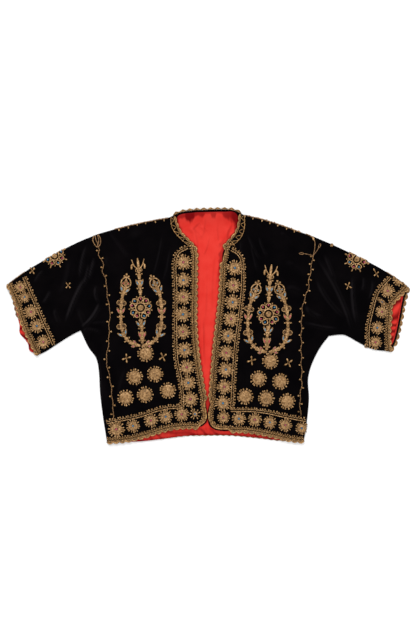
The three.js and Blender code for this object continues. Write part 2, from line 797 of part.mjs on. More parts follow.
function bead(place, reach, half, turn) {
  const along = { x: Math.cos(turn), y: Math.sin(turn) }
  const across = { x: -along.y, y: along.x }
  const shape = [[-1, 0], [-0.4, 0.85], [0.3, 1], [1, 0], [0.3, -1], [-0.4, -0.85]]
  return plate(shape.map(([l, w]) => ({
    x: place.x + l * reach * along.x + w * half * across.x,
    y: place.y + l * reach * along.y + w * half * across.y,
  })), trimThick)
}

// Cone-like beads one after another along a stem: its width swells once to each bead.
function beadedStem(rows) {
  const width = k => (k % 2 ? wreath.beadHalf : wreath.stemHalf)
  return strip(rows, { step: wreath.beadPitch / 2, near: width, far: width, thick: trimThick })
}

function addWreath(name, { x, y, mirror }) {
  const place = row => ({ x: x + mirror * row.x, y: y + row.y })
  const flipped = row => ({ x: x - mirror * row.x, y: y + row.y })
  const parts = [
    plate(star({ x, y }, medallionRadius - petalDepth, medallionRadius, petals), trimThick),
    beadedStem(wreath.stem.map(place)),
    ...wreath.prongs.map(rows => cord(rows.map(place), prongWidth)),
  ]
  for (const side of [place, flipped]) {
    parts.push(beadedStem(wreath.branch.map(side)))
    parts.push(bead(side(wreath.budAt), wreath.budReach, wreath.budHalf, Math.PI / 2))
  }
  addTrim(name, joined(parts))
}

function addCoilRosette(name, place) {
  const rim = plate(star(place, rosetteRadius - rosettePicot, coilReach, coilLobes), trimThick)
  const coil = plate(star(place, coilRadius, coilRadius, coilSides), bossThick)
  addTrim(name, joined([rim, coil]))
}

function addCross(name, place) {
  addTrim(name, solidOf(plate(star(place, crossReach * crossWaist, crossReach, 4), trimThick)))
}

// The part of a sleeve medallion that shows below the sleeve's top fold.
function addSleeveMedallion(name, place, half) {
  const outline = star(place, medallionRadius - petalDepth, medallionRadius, sleevePetals)
  const disc = plate(outline, trimThick)
  const plan = sleevePlan(half, half.cuffFront)
  const foldLine = evenSteps(4).map(s => plan(sleeveRound, s))
  const belowMedallion = place.y - 2 * medallionRadius
  const below = [
    ...foldLine,
    { x: foldLine.at(-1).x, y: Math.min(belowMedallion, foldLine.at(-1).y) },
    { x: foldLine[0].x, y: belowMedallion },
  ]
  addTrim(name, solidOf(disc).intersect(solidOf(plate(below, trimThick))))
}

// Cords along the collar's front: one by the seam, a zigzag, and the edging at the free edge.
function addCollarTrim(name, half, side) {
  const seam = frontCollarSeam(half)
  const edge = stations(half.collarEdge, steps.neck)
  const look = collarTrim
  const lane = (t, across) => onStations(seam, t).lerp(onStations(edge, t), across)
  const outer = evenSteps(look.cordSteps)
    .map(t => lane(look.cordFrom + look.cordLength * t, look.cordLane))
  const zigzag = evenSteps(look.teeth)
    .map((t, k) => lane(look.zigzagFrom + look.zigzagLength * t, k % 2 ? look.highLane : look.lowLane))
  const parts = [cord(outer, look.cord)]
  for (let k = 0; k < look.teeth; k++) parts.push(cord([zigzag[k], zigzag[k + 1]], look.zigzag))
  addTrim(name, joined(parts).add(edging(edge.slice(0, -1), side, look.edging)))
}

function addEmbroidery(suffix, half, trim, side) {
  addBorder(suffix, half, trim, side)
  addCuff(suffix, half, trim, -side)
  addCollarTrim(`collar_trim_${suffix}`, half, side)
  addWreath(`wreath_${suffix}`, trim.wreath)
  trim.coilRosettes.forEach((place, k) => addCoilRosette(`rosette_${suffix}_${k + 1}`, place))
  trim.crosses.forEach((place, k) => addCross(`cross_${suffix}_${k + 1}`, place))
  trim.sleeveCrosses.forEach((place, k) => addCross(`sleeve_cross_${suffix}_${k + 1}`, place))
  addSleeveMedallion(`sleeve_medallion_${suffix}`, trim.sleeveMedallion, half)
  addTrim(`vine_${suffix}`, solidOf(studdedCord(trim.vine)))
  addTrim(`shoulder_cord_${suffix}`, solidOf(studdedCord(trim.shoulderCord)))
}

// ---- The jacket ------------------------------------------------------------------------------

addBack()
addBackLining()
addFront('front_right', right)
addFront('front_left', left)
addSleeve('sleeve_right', right)
addSleeve('sleeve_left', left)
addSleeveLining('sleeve_lining_right', right)
addSleeveLining('sleeve_lining_left', left)
addCollar('collar_right', frontCollarSeam(right), right.collarEdge, frontUnder, frontThick)
addCollar('collar_left', frontCollarSeam(left), left.collarEdge, frontUnder, frontThick)
addCollar('collar_back', stations(backNeck, steps.neck), backCollarEdge, 0, velvetThick)
addEmbroidery('right', right, rightTrim, -1)
addEmbroidery('left', left, leftTrim, 1)
addTrim('hem_edging_back', edgingTips(backHem, 1, hemTips), tipUnder)
addTrim('collar_edging_back', edgingTips(backCollarEdge, -1), tipUnder)

export default group
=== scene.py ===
import bpy
import mathutils
import numpy as np
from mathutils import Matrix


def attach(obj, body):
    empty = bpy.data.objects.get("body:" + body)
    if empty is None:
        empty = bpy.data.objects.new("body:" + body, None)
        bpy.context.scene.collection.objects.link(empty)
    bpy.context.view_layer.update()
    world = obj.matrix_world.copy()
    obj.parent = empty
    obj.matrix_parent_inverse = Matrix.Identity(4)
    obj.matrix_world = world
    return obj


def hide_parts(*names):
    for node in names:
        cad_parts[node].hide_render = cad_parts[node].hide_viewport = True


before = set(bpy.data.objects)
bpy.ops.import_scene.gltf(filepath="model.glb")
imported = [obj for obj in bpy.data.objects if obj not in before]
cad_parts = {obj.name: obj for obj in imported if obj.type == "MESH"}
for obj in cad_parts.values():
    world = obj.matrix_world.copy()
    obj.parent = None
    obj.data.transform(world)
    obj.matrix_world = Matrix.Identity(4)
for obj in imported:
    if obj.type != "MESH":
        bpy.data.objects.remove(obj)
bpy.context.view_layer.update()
print("frame loaded:", len(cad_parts), "pieces of the plain model")

mm = 0.001          # every length below is in millimetres and turned to metres at the end
seam = 0.3          # clear space between pieces that meet

# curves and grids


def curveAt(rows, t):
    # Centripetal Catmull-Rom: each stretch is a cubic whose knots are the square roots of the chords.
    p = np.array(rows, float)
    p = np.vstack([2 * p[0] - p[1], p, 2 * p[-1] - p[-2]])
    t = np.asarray(t, float) * (len(rows) - 1)
    k = np.clip(t.astype(int), 0, len(rows) - 2)
    w = (t - k)[..., None]
    a, b, c, d = p[k], p[k + 1], p[k + 2], p[k + 3]
    chords = [np.linalg.norm(e, axis=-1, keepdims=True) for e in (b - a, c - b, d - c)]
    k0, k1, k2 = (np.maximum(chord, 1e-6) ** 0.5 for chord in chords)
    m1 = ((b - a) / k0 - (c - a) / (k0 + k1) + (c - b) / k1) * k1
    m2 = ((c - b) / k1 - (d - b) / (k1 + k2) + (d - c) / k2) * k1
    return b + m1 * w + (3 * (c - b) - 2 * m1 - m2) * w**2 + (2 * (b - c) + m1 + m2) * w**3


def evenPath(rows, step):
    # Equal steps of arc length along the curve: points, unit tangents, left normals and distances.
    dense = curveAt(rows, np.linspace(0, 1, 60 * len(rows)))
    walked = np.concatenate([[0], np.cumsum(np.linalg.norm(np.diff(dense, axis=0), axis=1))])
    count = max(2, int(round(walked[-1] / step)))
    s = np.linspace(0, walked[-1], count + 1)
    points = np.stack([np.interp(s, walked, dense[:, i]) for i in (0, 1)], axis=1)
    tangents = np.gradient(points, axis=0)
    tangents /= np.linalg.norm(tangents, axis=1, keepdims=True)
    normals = np.stack([-tangents[:, 1], tangents[:, 0]], axis=1)
    return points, tangents, normals, s


def alongPath(rows, count):
    # count points at equal distances from the first row to the last.
    points, _, _, s = evenPath(rows, 0.5)
    at = np.linspace(0, s[-1], count)
    return np.stack([np.interp(at, s, points[:, i]) for i in (0, 1)], axis=1)


def patch(near, far, top, bottom):
    # Coons patch: near and far run down, top and bottom run across; blend both pairs, less the corners.
    u = np.linspace(0, 1, len(top))[None, :, None]
    v = np.linspace(0, 1, len(near))[:, None, None]
    sides = (1 - u) * near[:, None] + u * far[:, None]
    ends = (1 - v) * top[None] + v * bottom[None]
    corners = (1 - v) * ((1 - u) * near[0] + u * far[0]) + v * ((1 - u) * near[-1] + u * far[-1])
    return sides + ends - corners


def smooth(low, high, x):
    # Hermite step from 0 at low to 1 at high.
    t = np.clip((x - low) / (high - low), 0, 1)
    return t * t * (3 - 2 * t)


# the cut of the jacket

# Right and left are the wearer's. One pair is one point of an edge, x and y.
rightCut = {
    "shoulder": [(-82, 237), (-118, 230), (-157, 222), (-199, 212), (-241, 200)],
    "neck": [(-82, 237), (-80, 217), (-72, 202), (-58, 187), (-44, 175)],
    "collarEdge": [(-74, 238), (-69, 221), (-61, 204), (-46, 188), (-31, 173)],
    "centre": [(-30, 171), (-27, 158), (-27, 135), (-28, 60), (-28, -5), (-21, -80), (-12, -135),
               (-3.5, -176), (-0.2, -198), (-2.2, -213), (-13, -223)],
    "hem": [(-13, -223), (-40, -222.5), (-76, -225), (-104, -232), (-132, -241), (-172, -251), (-221, -256)],
    "armhole": [(-241, 200), (-237, 161), (-228, 121), (-224, 82), (-232, 51), (-254, 20), (-279, -12)],
    "side": [(-279, -12), (-261, -50), (-245, -72), (-239, -100), (-236, -150), (-230, -200), (-221, -256)],
    "sleeveTop": [(-241, 200), (-289, 180), (-342, 152), (-395, 121), (-438, 90)],
    "sleeveUnder": [(-279, -12), (-302, -24), (-329, -41), (-355, -58), (-372, -66)],
    "cuffFront": [(-438, 90), (-427, 69), (-418, 48), (-407, 9), (-391, -28), (-372, -66)],
    "cuffBack": [(-438, 90), (-429, 66), (-420, 30), (-413, 0), (-398, -36), (-372, -66)],
}
leftCut = {
    "shoulder": [(82, 241), (120, 233), (160, 220), (199, 206), (234, 194)],
    "neck": [(82, 241), (83, 225), (81, 207), (73, 190), (60, 177)],
    "collarEdge": [(73, 243), (71, 226), (67, 209), (57, 193), (43, 178)],
    "centre": [(43, 175), (35, 163), (32.5, 150), (33, 134), (31, 80), (24, 10), (17, -50), (12, -110),
               (7, -165), (0.8, -190), (0.4, -208), (5, -222), (17, -230.5)],
    "hem": [(17, -230.5), (38, -233), (60, -231), (95, -233), (139, -241), (183, -251), (212, -254)],
    "armhole": [(234, 194), (232, 158), (223, 120), (217, 82), (220, 50), (240, 15), (267, -24)],
    "side": [(267, -24), (246, -52), (227, -92), (221, -120), (223, -160), (219, -208), (212, -254)],
    "sleeveTop": [(234, 194), (278, 175), (331, 150), (386, 121), (440, 84)],
    "sleeveUnder": [(267, -24), (300, -22), (331, -38), (362, -53), (399, -58)],
    "cuffFront": [(440, 84), (420, 64), (402, 44), (400, 18), (397, -20), (399, -58)],
    "cuffBack": [(440, 84), (431, 50), (424, 12), (417, -20), (410, -42), (399, -58)],
}
backCut = {
    "neck": [(-82, 237), (-66, 228), (-34, 225), (0, 226), (36, 227), (65, 231), (82, 241)],
    "collarEdge": [(-75, 241), (-60, 247.5), (-34, 251.5), (0, 253), (34, 253.6), (58, 252), (74, 245)],
    "hem": [(-221, -256), (-170, -254), (-110, -249), (-45, -242), (0, -241), (45, -241), (105, -246),
            (165, -253), (212, -254)],
}
liningCut = {
    "top": [(-214, 180), (-120, 203), (-78, 214), (-64, 240), (-34, 246.5), (0, 248), (34, 248.6), (60, 247),
            (79, 218), (120, 206), (208, 174)],
    "rightSide": [(-214, 180), (-206, 120), (-202, 60), (-212, 0), (-214, -60), (-212, -120), (-206, -180),
                  (-198, -257)],
    "leftSide": [(208, 174), (200, 120), (196, 60), (204, 0), (206, -60), (198, -120), (198, -180),
                 (190, -254)],
    "hem": [(-198, -257), (-150, -256), (-100, -250.5), (-45, -243.4), (0, -241.8), (45, -241.8),
            (100, -246.5), (150, -252.5), (190, -254)],
}

# Levels and thicknesses of the layers. edgeRound is where the top layer turns over, and flatEdge the
# width beside its folded edges in which folds and ripple fade out.
layers = {"backTop": 1.5, "middle": 2.5, "liningTop": 2.8, "clothTop": 5.1, "clothThick": 1.6,
          "liningThick": 0.9, "sleeveWall": 1.3, "edgeRound": 6.0, "flatEdge": 16, "ripple": 0.15}

# Soft folds of the top layer: from, to, how far the ridge bends aside, its rise and half width, and
# how sharp its crest is. A negative rise is a trough.
foldTable = np.array([
    # fromX, fromY, toX, toY, bend, rise, half, sharp
    (-217, 207, -170, 143, 0, 2.0, 5.0, 1.5), (-263, 178, -279, 98, -4, 2.4, 6, 1.5),
    (-247, 150, -261, 96, 0, 2.6, 5, 1.5), (-259, 134, -272, 80, 0, 2.0, 5, 1.5),
    (-263, 108, -311, -1, -5, 4.6, 8, 1.6), (-235, 50, -277, -7, 6, 5.0, 8, 1.6),
    (-243, 88, -234, 45, -7, 2.6, 5.5, 1.5), (-359, 121, -380, 91, -2, 1.6, 5, 1.4),
    (-344, 76, -362, 45, 2, 2.2, 7, 1.5), (-335, 36, -322, 2, -3, 2.4, 7, 1.5),
    (-258, 4, -218, 4, 0, 1.2, 4.5, 1.3), (-273, -10, -231, -19, 3, 1.8, 5, 1.4),
    (-97, 204, -121, 97, 3, 1.2, 6, 1.3), (-81, 170, -97, 91, 2, 1.0, 5, 1.3),
    (-170, 208, -116, 150, 4, 2.2, 26, 1.0), (-225, 152, -194, 115, -5, 1.6, 9, 1.3),
    (-300, 150, -322, 60, 6, 2.0, 14, 1.2), (-286, 40, -262, -30, 3, 2.0, 9, 1.3),
    (-240, -60, -228, -180, 4, 1.6, 8, 1.3), (-186, 130, -182, 20, 3, 0.9, 9, 1.2),
    (-176, -90, -196, -190, -4, 1.1, 9, 1.2), (88, 201, 120, 137, -2, 1.9, 4.5, 1.5),
    (114, 195, 135, 146, -3, 1.7, 4.5, 1.5), (96, 176, 111, 115, 0, 1.4, 4.5, 1.4),
    (74, 185, 75, 152, 0, 1.1, 4.5, 1.3), (239, 152, 321, -19, 9, 5.0, 8, 1.6),
    (257, 155, 282, 88, 2, 3.0, 6.5, 1.5), (239, 103, 309, 11, -8, 4.2, 7.5, 1.5),
    (321, 109, 331, -4, -5, 4.2, 7.5, 1.6), (343, 106, 340, 72, 3, 1.9, 5.5, 1.4),
    (215, 42, 254, 17, -6, 3.4, 8, 1.5), (212, 5, 291, -10, -3, 2.6, 7, 1.4),
    (160, 204, 184, 185, 0, 1.1, 6, 1.3), (172, 140, 215, 106, 2, 1.5, 9, 1.2),
    (172, 82, 212, 66, 3, 1.8, 10, 1.2), (364, 100, 355, 54, 4, 1.9, 6.5, 1.4),
    (236, -66, 226, -190, -4, 1.6, 8, 1.3), (186, 30, 190, -50, -4, 1.0, 9, 1.2),
    (150, -100, 146, -180, 3, 0.9, 9, 1.2),
])


def foldHeight(x, y, table):
    # Ridge: a raised cosine of the distance from a bowed line, fading in and out at its two ends.
    z = np.zeros_like(x)
    for x0, y0, x1, y1, bend, rise, half, sharp in table:
        dx, dy = x1 - x0, y1 - y0
        length = np.hypot(dx, dy)
        t = ((x - x0) * dx + (y - y0) * dy) / length**2
        off = ((y - y0) * dx - (x - x0) * dy) / length - bend * 4 * t * (1 - t)
        away = np.clip(np.abs(off) / half, 0, 1)
        ends = smooth(0, 0.3, t) * smooth(1, 0.7, t)
        z += rise * ends * (0.5 + 0.5 * np.cos(np.pi * away)) ** sharp
    return z


def footOn(x, y, line):
    # Nearest point of a line to each place, with the distance to it, positive to the line's left.
    # Past either end of the line the distance counts as far inside.
    # At a corner, the stretch that sees the place most squarely says which side it lies on.
    flat = np.stack([x.ravel(), y.ravel()], axis=1)
    away = np.full(len(flat), 1e9)
    best = away.copy()
    foot = np.zeros_like(flat)
    last = len(line) - 2
    for i, (p, d) in enumerate(zip(line[:-1], np.diff(line, axis=0))):
        t = (flat - p) @ d / (d @ d)
        ended = (t < 0) if i == 0 else (t > 1) if i == last else np.zeros(len(t), bool)
        place = p + np.clip(t, 0, 1)[:, None] * d
        gap = flat - place
        far = np.linalg.norm(gap, axis=1)
        square = (d[0] * gap[:, 1] - d[1] * gap[:, 0]) / np.linalg.norm(d)
        signed = np.where(ended, 1e6, far * np.where(square < 0, -1.0, 1.0))
        score = np.where(ended, 1e6, far * 1.01 - 0.01 * np.abs(square))
        better = score < best
        best = np.where(better, score, best)
        away, foot = np.where(better, signed, away), np.where(better[:, None], place, foot)
    return away.reshape(x.shape), foot.reshape(*x.shape, 2)


def foldedEdges():
    # The lines where the top layer turns over to the back, each with the panel on its left:
    # shoulder with sleeve top, underarm with side.
    lines = []
    for cut, order in ((rightCut, 1), (leftCut, -1)):
        for first, start, second, steps in (("shoulder", 0, "sleeveTop", 12),
                                            ("sleeveUnder", 1, "side", 16)):
            near = curveAt(cut[first], np.linspace(start, 1 - start, 9))
            far = curveAt(cut[second], np.linspace(0, 1, steps + 1))
            lines.append(np.vstack([near, far[1:]])[::order])
    return lines


edgeLines = foldedEdges()


def edgeFoot(x, y):
    # Distance inside the nearest folded edge, negative past it, and the nearest point of that edge.
    found = [footOn(x, y, line) for line in edgeLines]
    away = np.stack([f[0] for f in found])
    pick = np.argmin(np.abs(away), axis=0)[None]
    feet = np.stack([f[1] for f in found])
    return np.take_along_axis(away, pick, 0)[0], np.take_along_axis(feet, pick[..., None], 0)[0]


def turnedOver(near):
    # How far the top layer has turned at a distance from a folded edge: a quarter ellipse, 1 at the
    # edge and 0 from edgeRound inwards.
    share = 1 - np.clip(near / layers["edgeRound"], 0, 1)
    return 1 - np.sqrt(np.clip(1 - share**2, 0, 1))


def clothHeight(x, y):
    # Top of the upper layer: its level, plus folds and a slow ripple, less its turn at folded edges.
    x, y = np.asarray(x, float), np.asarray(y, float)
    near = np.maximum(edgeFoot(x, y)[0], 0)
    ripple = np.sin(x / 17 + 1.7 * np.sin(y / 41)) + np.sin(y / 13 + 1.3 * np.sin(x / 37))
    rise = foldHeight(x, y, foldTable) + layers["ripple"] * ripple
    top = layers["clothTop"] + smooth(0, layers["flatEdge"], near) * rise
    return top - turnedOver(near) * (layers["clothTop"] - layers["middle"])


def slopes(height, x, y, step):
    # Central differences of a height, along x and along y.
    return [(height(x + dx, y + dy) - height(x - dx, y - dy)) / (2 * step)
            for dx, dy in ((step, 0), (0, step))]


# facing and any are the strength and the power of each share of the painted highlight.
foldHighlightLook = {"lightX": 0.75, "lightY": -0.66, "facing": (0.85, 1.15), "any": (0.18, 1.3), "most": 0.85}


def paintedFoldHighlight(x, y):
    # Painted highlight on the velvet's folds, from their slope, most of it on the side that faces
    # the upper left, where the light comes from.
    look = foldHighlightLook
    slopeX, slopeY = slopes(lambda x, y: foldHeight(x, y, foldTable), x, y, 0.7)
    facing = np.maximum(look["lightX"] * slopeX + look["lightY"] * slopeY, 0)
    folds = [share * slope**power for (share, power), slope in
             ((look["facing"], facing), (look["any"], np.hypot(slopeX, slopeY)))]
    return np.clip(sum(folds), 0, look["most"])


# meshes from arrays


def gridFaces(down, across, start=0, flip=False):
    # Quads between neighbouring points of a grid stored row by row.
    a = (np.arange(down - 1)[:, None] * across + np.arange(across - 1)).ravel() + start
    quads = np.stack([a, a + 1, a + across + 1, a + across], axis=1)
    return quads[:, ::-1] if flip else quads


def part(verts, faces, uv=None, deep=0.0, mat=0):
    # One set of points (mm) with its groups of faces, its thread coordinates (mm), each point's share
    # of painted shade or painted highlight, 0 to 1, and its material, or one for each group.
    verts = np.asarray(verts, float)
    uv = verts[:, :2] if uv is None else np.asarray(uv, float)
    deep = np.broadcast_to(np.asarray(deep, float), len(verts))
    return {"verts": verts, "faces": [np.asarray(f, int) for f in faces], "uv": uv, "deep": deep, "mat": mat}


def faceGroups(p):
    # A part's groups of faces, each with its material's number.
    mats = p["mat"] if isinstance(p["mat"], (list, tuple)) else [p["mat"]] * len(p["faces"])
    return list(zip(p["faces"], mats))


def makePiece(name, parts, materials, replaces):
    # Joins the parts into one mesh object at the origin, with its place in its mesh.
    verts = np.vstack([p["verts"] for p in parts]) * mm
    uv = np.vstack([p["uv"] for p in parts]) * mm
    deep = np.concatenate([p["deep"] for p in parts])
    starts = np.cumsum([0] + [len(p["verts"]) for p in parts])
    groups = [(faces + start, mat) for p, start in zip(parts, starts) for faces, mat in faceGroups(p)]
    loops = np.concatenate([faces.ravel() for faces, _ in groups])
    sizes = np.concatenate([np.full(len(faces), faces.shape[1]) for faces, _ in groups])
    mats = np.concatenate([np.full(len(faces), mat) for faces, mat in groups])
    mesh = bpy.data.meshes.new(name)
    mesh.vertices.add(len(verts))
    mesh.loops.add(len(loops))
    mesh.polygons.add(len(sizes))
    mesh.vertices.foreach_set("co", verts.astype(np.float32).ravel())
    mesh.loops.foreach_set("vertex_index", loops.astype(np.int32))
    polygons = {"loop_start": np.cumsum(sizes) - sizes, "loop_total": sizes, "material_index": mats}
    for field, values in polygons.items():
        mesh.polygons.foreach_set(field, values.astype(np.int32))
    mesh.polygons.foreach_set("use_smooth", np.ones(len(sizes), bool))
    mesh.uv_layers.new(name="thread").data.foreach_set("uv", uv[loops].astype(np.float32).ravel())
    # Each point's share of painted shade or painted highlight, read by the materials.
    mesh.attributes.new("deep", "FLOAT", "POINT").data.foreach_set("value", deep.astype(np.float32))
    mesh.update(calc_edges=True)
    mesh.validate()
    for material in materials:
        mesh.materials.append(material)
    piece = bpy.data.objects.new(name, mesh)
    bpy.context.scene.collection.objects.link(piece)
    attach(piece, "root")
    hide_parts(*replaces)
    return piece


def shell(top, under, mats=(0, 1, 0), deep=0.0):
    # A closed wall over a grid: upper surface, lower surface and the rim that joins them.
    down, across = top.shape[:2]
    upFacing = np.cross(top[0, 1, :2] - top[0, 0, :2], top[1, 0, :2] - top[0, 0, :2]) > 0
    verts = np.vstack([top.reshape(-1, 3), under.reshape(-1, 3)])
    low = down * across
    index = np.arange(low).reshape(down, across)
    rim = np.concatenate([index[0, :-1], index[:-1, -1], index[-1, :0:-1], index[:0:-1, 0]])
    nxt = np.roll(rim, -1)
    wall = np.stack([rim, rim + low, nxt + low, nxt], axis=1)
    faces = [gridFaces(down, across, 0, not upFacing), gridFaces(down, across, low, upFacing),
             wall if upFacing else wall[:, ::-1]]
    deep = np.tile(np.ravel(deep), 2) if np.ndim(deep) else deep
    return part(verts, faces, deep=deep, mat=list(mats))


def wrapped(p, v, height):
    # What reaches past a folded edge goes round it: its distance is walked along a quarter ellipse
    # and its height points outwards. Faces past the quarter are left out.
    away, foot = edgeFoot(v[:, 0], v[:, 1])
    reach, drop = layers["edgeRound"], layers["clothTop"] - layers["middle"]
    quarter = 1.11 * (reach + drop) / 1.414
    turn = np.clip((reach - away) / quarter, 0, 1) * np.pi / 2
    inward = (v[:, :2] - foot) / np.where(np.abs(away) < 1e-6, 1.0, away)[:, None]
    bent = away < reach
    along = reach * (1 - np.sin(turn))
    ground = foot + inward * np.maximum(along, 0.02)[:, None]
    level = height(ground[:, 0], ground[:, 1]) + v[:, 2] * np.cos(turn)
    bend = foot + inward * (along - v[:, 2] * np.sin(turn))[:, None]
    v = np.where(bent[:, None], np.column_stack([bend, level]), v)
    v[~bent, 2] += height(v[~bent, 0], v[~bent, 1])
    lost = away < reach - quarter
    kept = [(f[~lost[f].all(axis=1)], m) for f, m in faceGroups(p)]
    kept = [(f, m) for f, m in kept if len(f)]
    return {**p, "verts": v, "faces": [f for f, _ in kept], "mat": [m for _, m in kept]}


def laid(parts, lift=0.1, height=clothHeight, wrap=False):
    # Seats parts on the cloth: each point's own height is added to the cloth's at its place.
    out = []
    for p in parts:
        v = p["verts"] + [0, 0, lift]
        if wrap:
            out.append(wrapped(p, v, height))
        else:
            v[:, 2] += height(v[:, 0], v[:, 1])
            out.append({**p, "verts": v})
    return [p for p in out if p["faces"]]


# materials


def linear(hexColour):
    # sRGB hex to linear: the standard curve, straight near black and a 2.4 power above.
    c = np.array([int(hexColour[i:i + 2], 16) / 255 for i in (1, 3, 5)])
    c = np.where(c <= 0.04045, c / 12.92, ((c + 0.055) / 1.055) ** 2.4)
    return (*c, 1.0)


def addNode(tree, kind, values=None, links=None, **settings):
    # Adds a node; values fill its sockets, links join its sockets, settings are its own properties.
    node = tree.nodes.new(kind)
    for key, value in settings.items():
        setattr(node, key, value)
    for key, value in (values or {}).items():
        node.inputs[key].default_value = value
    for key, source in (links or {}).items():
        tree.links.new(source, node.inputs[key])
    return node


def newMaterial(name):
    material = bpy.data.materials.new(name)
    material.use_nodes = True
    material.node_tree.nodes.clear()
    return material, material.node_tree


def finishMaterial(tree, values, colour=None, relief=None, strength=0.0, depth=0.0):
    # The surface with its own values, its colour, and a bump of the given depth (mm) from a relief.
    links = {} if colour is None else {"Base Color": colour}
    if relief is not None:
        bump = addNode(tree, "ShaderNodeBump", {"Strength": strength, "Distance": depth * mm},
                       {"Height": relief})
        links["Normal"] = bump.outputs["Normal"]
    shader = addNode(tree, "ShaderNodeBsdfPrincipled", values, links)
    addNode(tree, "ShaderNodeOutputMaterial", links={"Surface": shader.outputs[0]})


def ramp(tree, source, *stops):
    # Colours at places from 0 to 1 of a source.
    node = addNode(tree, "ShaderNodeValToRGB", links={"Fac": source})
    elements = node.color_ramp.elements
    while len(elements) < len(stops):
        elements.new(0.5)
    for element, (place, colour) in zip(elements, stops):
        element.position, element.color = place, linear(colour)
    return node.outputs["Color"]


def paintedLightColour(tree, colour, hexColour):
    # The colour turned to another one by the points' share of painted shade or painted highlight.
    share = addNode(tree, "ShaderNodeAttribute", attribute_name="deep")
    mix = addNode(tree, "ShaderNodeMix", {7: linear(hexColour)}, {0: share.outputs["Fac"], 6: colour},
                  data_type="RGBA")
    return mix.outputs[2]


# The third colour is a painted highlight on the folds; the first two are the pile's tone, varying at random
# in patches.
velvetLook = {"deepColour": "#030203", "napColour": "#070506", "bloomColour": "#1c191b", "napPatch": 45.0,
              "pile": 1.1, "pileDepth": 0.4, "bump": 0.35, "roughness": 0.95, "specular": 0.02,
              "sheen": 0.08, "sheenRoughness": 0.35, "sheenTint": "#8c828c"}


def silkVelvet():
    # Black silk velvet, woven and cut to a short upright pile: it swallows light. A faint grey painted
    # highlight lies on the folds, and its tone varies at random in soft patches.
    look = velvetLook
    material, tree = newMaterial("silkVelvet")
    place = addNode(tree, "ShaderNodeTexCoord").outputs["Object"]
    patches, pile = (addNode(tree, "ShaderNodeTexNoise", {"Scale": 1 / (size * mm), "Detail": detail},
                             {"Vector": place}).outputs["Fac"]
                     for size, detail in ((look["napPatch"], 3.0), (look["pile"], 2.0)))
    colour = ramp(tree, patches, (0.35, look["deepColour"]), (0.75, look["napColour"]))
    values = {"Roughness": look["roughness"], "Specular IOR Level": look["specular"],
              "Sheen Weight": look["sheen"], "Sheen Roughness": look["sheenRoughness"],
              "Sheen Tint": linear(look["sheenTint"])}
    # Painted highlight: the colour turns grey on the folds by the points' share.
    colour = paintedLightColour(tree, colour, look["bloomColour"])
    finishMaterial(tree, values, colour, pile, look["bump"], look["pileDepth"])
    return material


# lit and shade are the satin's two tones in random blotches; the last colour is the crimson of its painted
# shade.
satinLook = {"lit": "#cd342b", "shade": "#c62a22", "hollow": "#6a0003", "thread": 0.9, "stretch": 0.12,
             "blotch": 30, "bump": 0.2, "threadDepth": 0.3, "roughness": 0.5, "specular": 0.05,
             "anisotropic": 0.4}


def redSatin():
    # Soft red satin, warp-faced: long floats give a broad sheen across the threads and fine lines
    # along them; where shade is painted it turns deep crimson.
    look = satinLook
    material, tree = newMaterial("redSatin")
    place = addNode(tree, "ShaderNodeTexCoord").outputs["Object"]
    spread = addNode(tree, "ShaderNodeMapping", {"Scale": (1.0, look["stretch"], 1.0)}, {"Vector": place})
    floats, blotch = (addNode(tree, "ShaderNodeTexNoise", {"Scale": 1 / (size * mm), "Detail": detail},
                              {"Vector": where}).outputs["Fac"]
                      for size, detail, where in ((look["thread"], 3.0, spread.outputs["Vector"]),
                                                  (look["blotch"], 4.0, place)))
    colour = ramp(tree, blotch, (0.3, look["shade"]), (0.6, look["lit"]))
    values = {"Roughness": look["roughness"], "Specular IOR Level": look["specular"],
              "Anisotropic": look["anisotropic"]}
    # Painted shade: the red turns crimson by the points' share.
    colour = paintedLightColour(tree, colour, look["hollow"])
    finishMaterial(tree, values, colour, floats, look["bump"], look["threadDepth"])
    return material


# What darkens the thread: painted shade from depth in the work, flecks, patches of tarnish and the winds.
goldLook = {"sunk": 0.85, "flecks": 3.2, "tarnish": 0.5, "winds": 0.3, "range": (1.35, 3.3), "bodyAt": 0.42,
            "fleck": 3.2, "patch": 14, "bump": 0.5, "windDepth": 0.3}


def goldThread(name, crest, body, valley, winding, metallic, roughness):
    # Aged metal thread wound on a silk core: each wind is a fine line across the cord, with brown
    # tarnish in flecks and patches; painted shade turns it towards the valley colour where it lies deep.
    look = goldLook
    material, tree = newMaterial(name)
    thread = addNode(tree, "ShaderNodeUVMap", uv_map="thread").outputs["UV"]
    place = addNode(tree, "ShaderNodeTexCoord").outputs["Object"]
    winds = addNode(tree, "ShaderNodeTexWave", {"Scale": 3.1416 / (20 * winding * mm), "Distortion": 2.5,
                                                "Detail": 1.0, "Detail Scale": 2.0},
                    {"Vector": thread}, wave_type="BANDS", bands_direction="X").outputs["Fac"]
    flecks, tarnish = (addNode(tree, "ShaderNodeTexNoise", {"Scale": 1 / (size * mm), "Detail": 2.0},
                               {"Vector": place}).outputs["Fac"] for size in (look["fleck"], look["patch"]))
    # Painted shade: the points' share, darkest under cords, in grooves and between loops.
    depth = addNode(tree, "ShaderNodeAttribute", attribute_name="deep").outputs["Fac"]
    total = addNode(tree, "ShaderNodeMath", {1: look["sunk"]}, {0: depth}, operation="MULTIPLY").outputs[0]
    for source, share in ((flecks, look["flecks"]), (tarnish, look["tarnish"]), (winds, look["winds"])):
        total = addNode(tree, "ShaderNodeMath", {1: share}, {0: source, 2: total},
                        operation="MULTIPLY_ADD").outputs[0]
    low, high = look["range"]
    mixed = addNode(tree, "ShaderNodeMapRange", {"From Min": low, "From Max": high}, {"Value": total})
    colour = ramp(tree, mixed.outputs[0], (0.0, crest), (look["bodyAt"], body), (1.0, valley))
    values = {"Metallic": metallic, "Roughness": roughness}
    finishMaterial(tree, values, colour, winds, look["bump"], look["windDepth"])
    return material


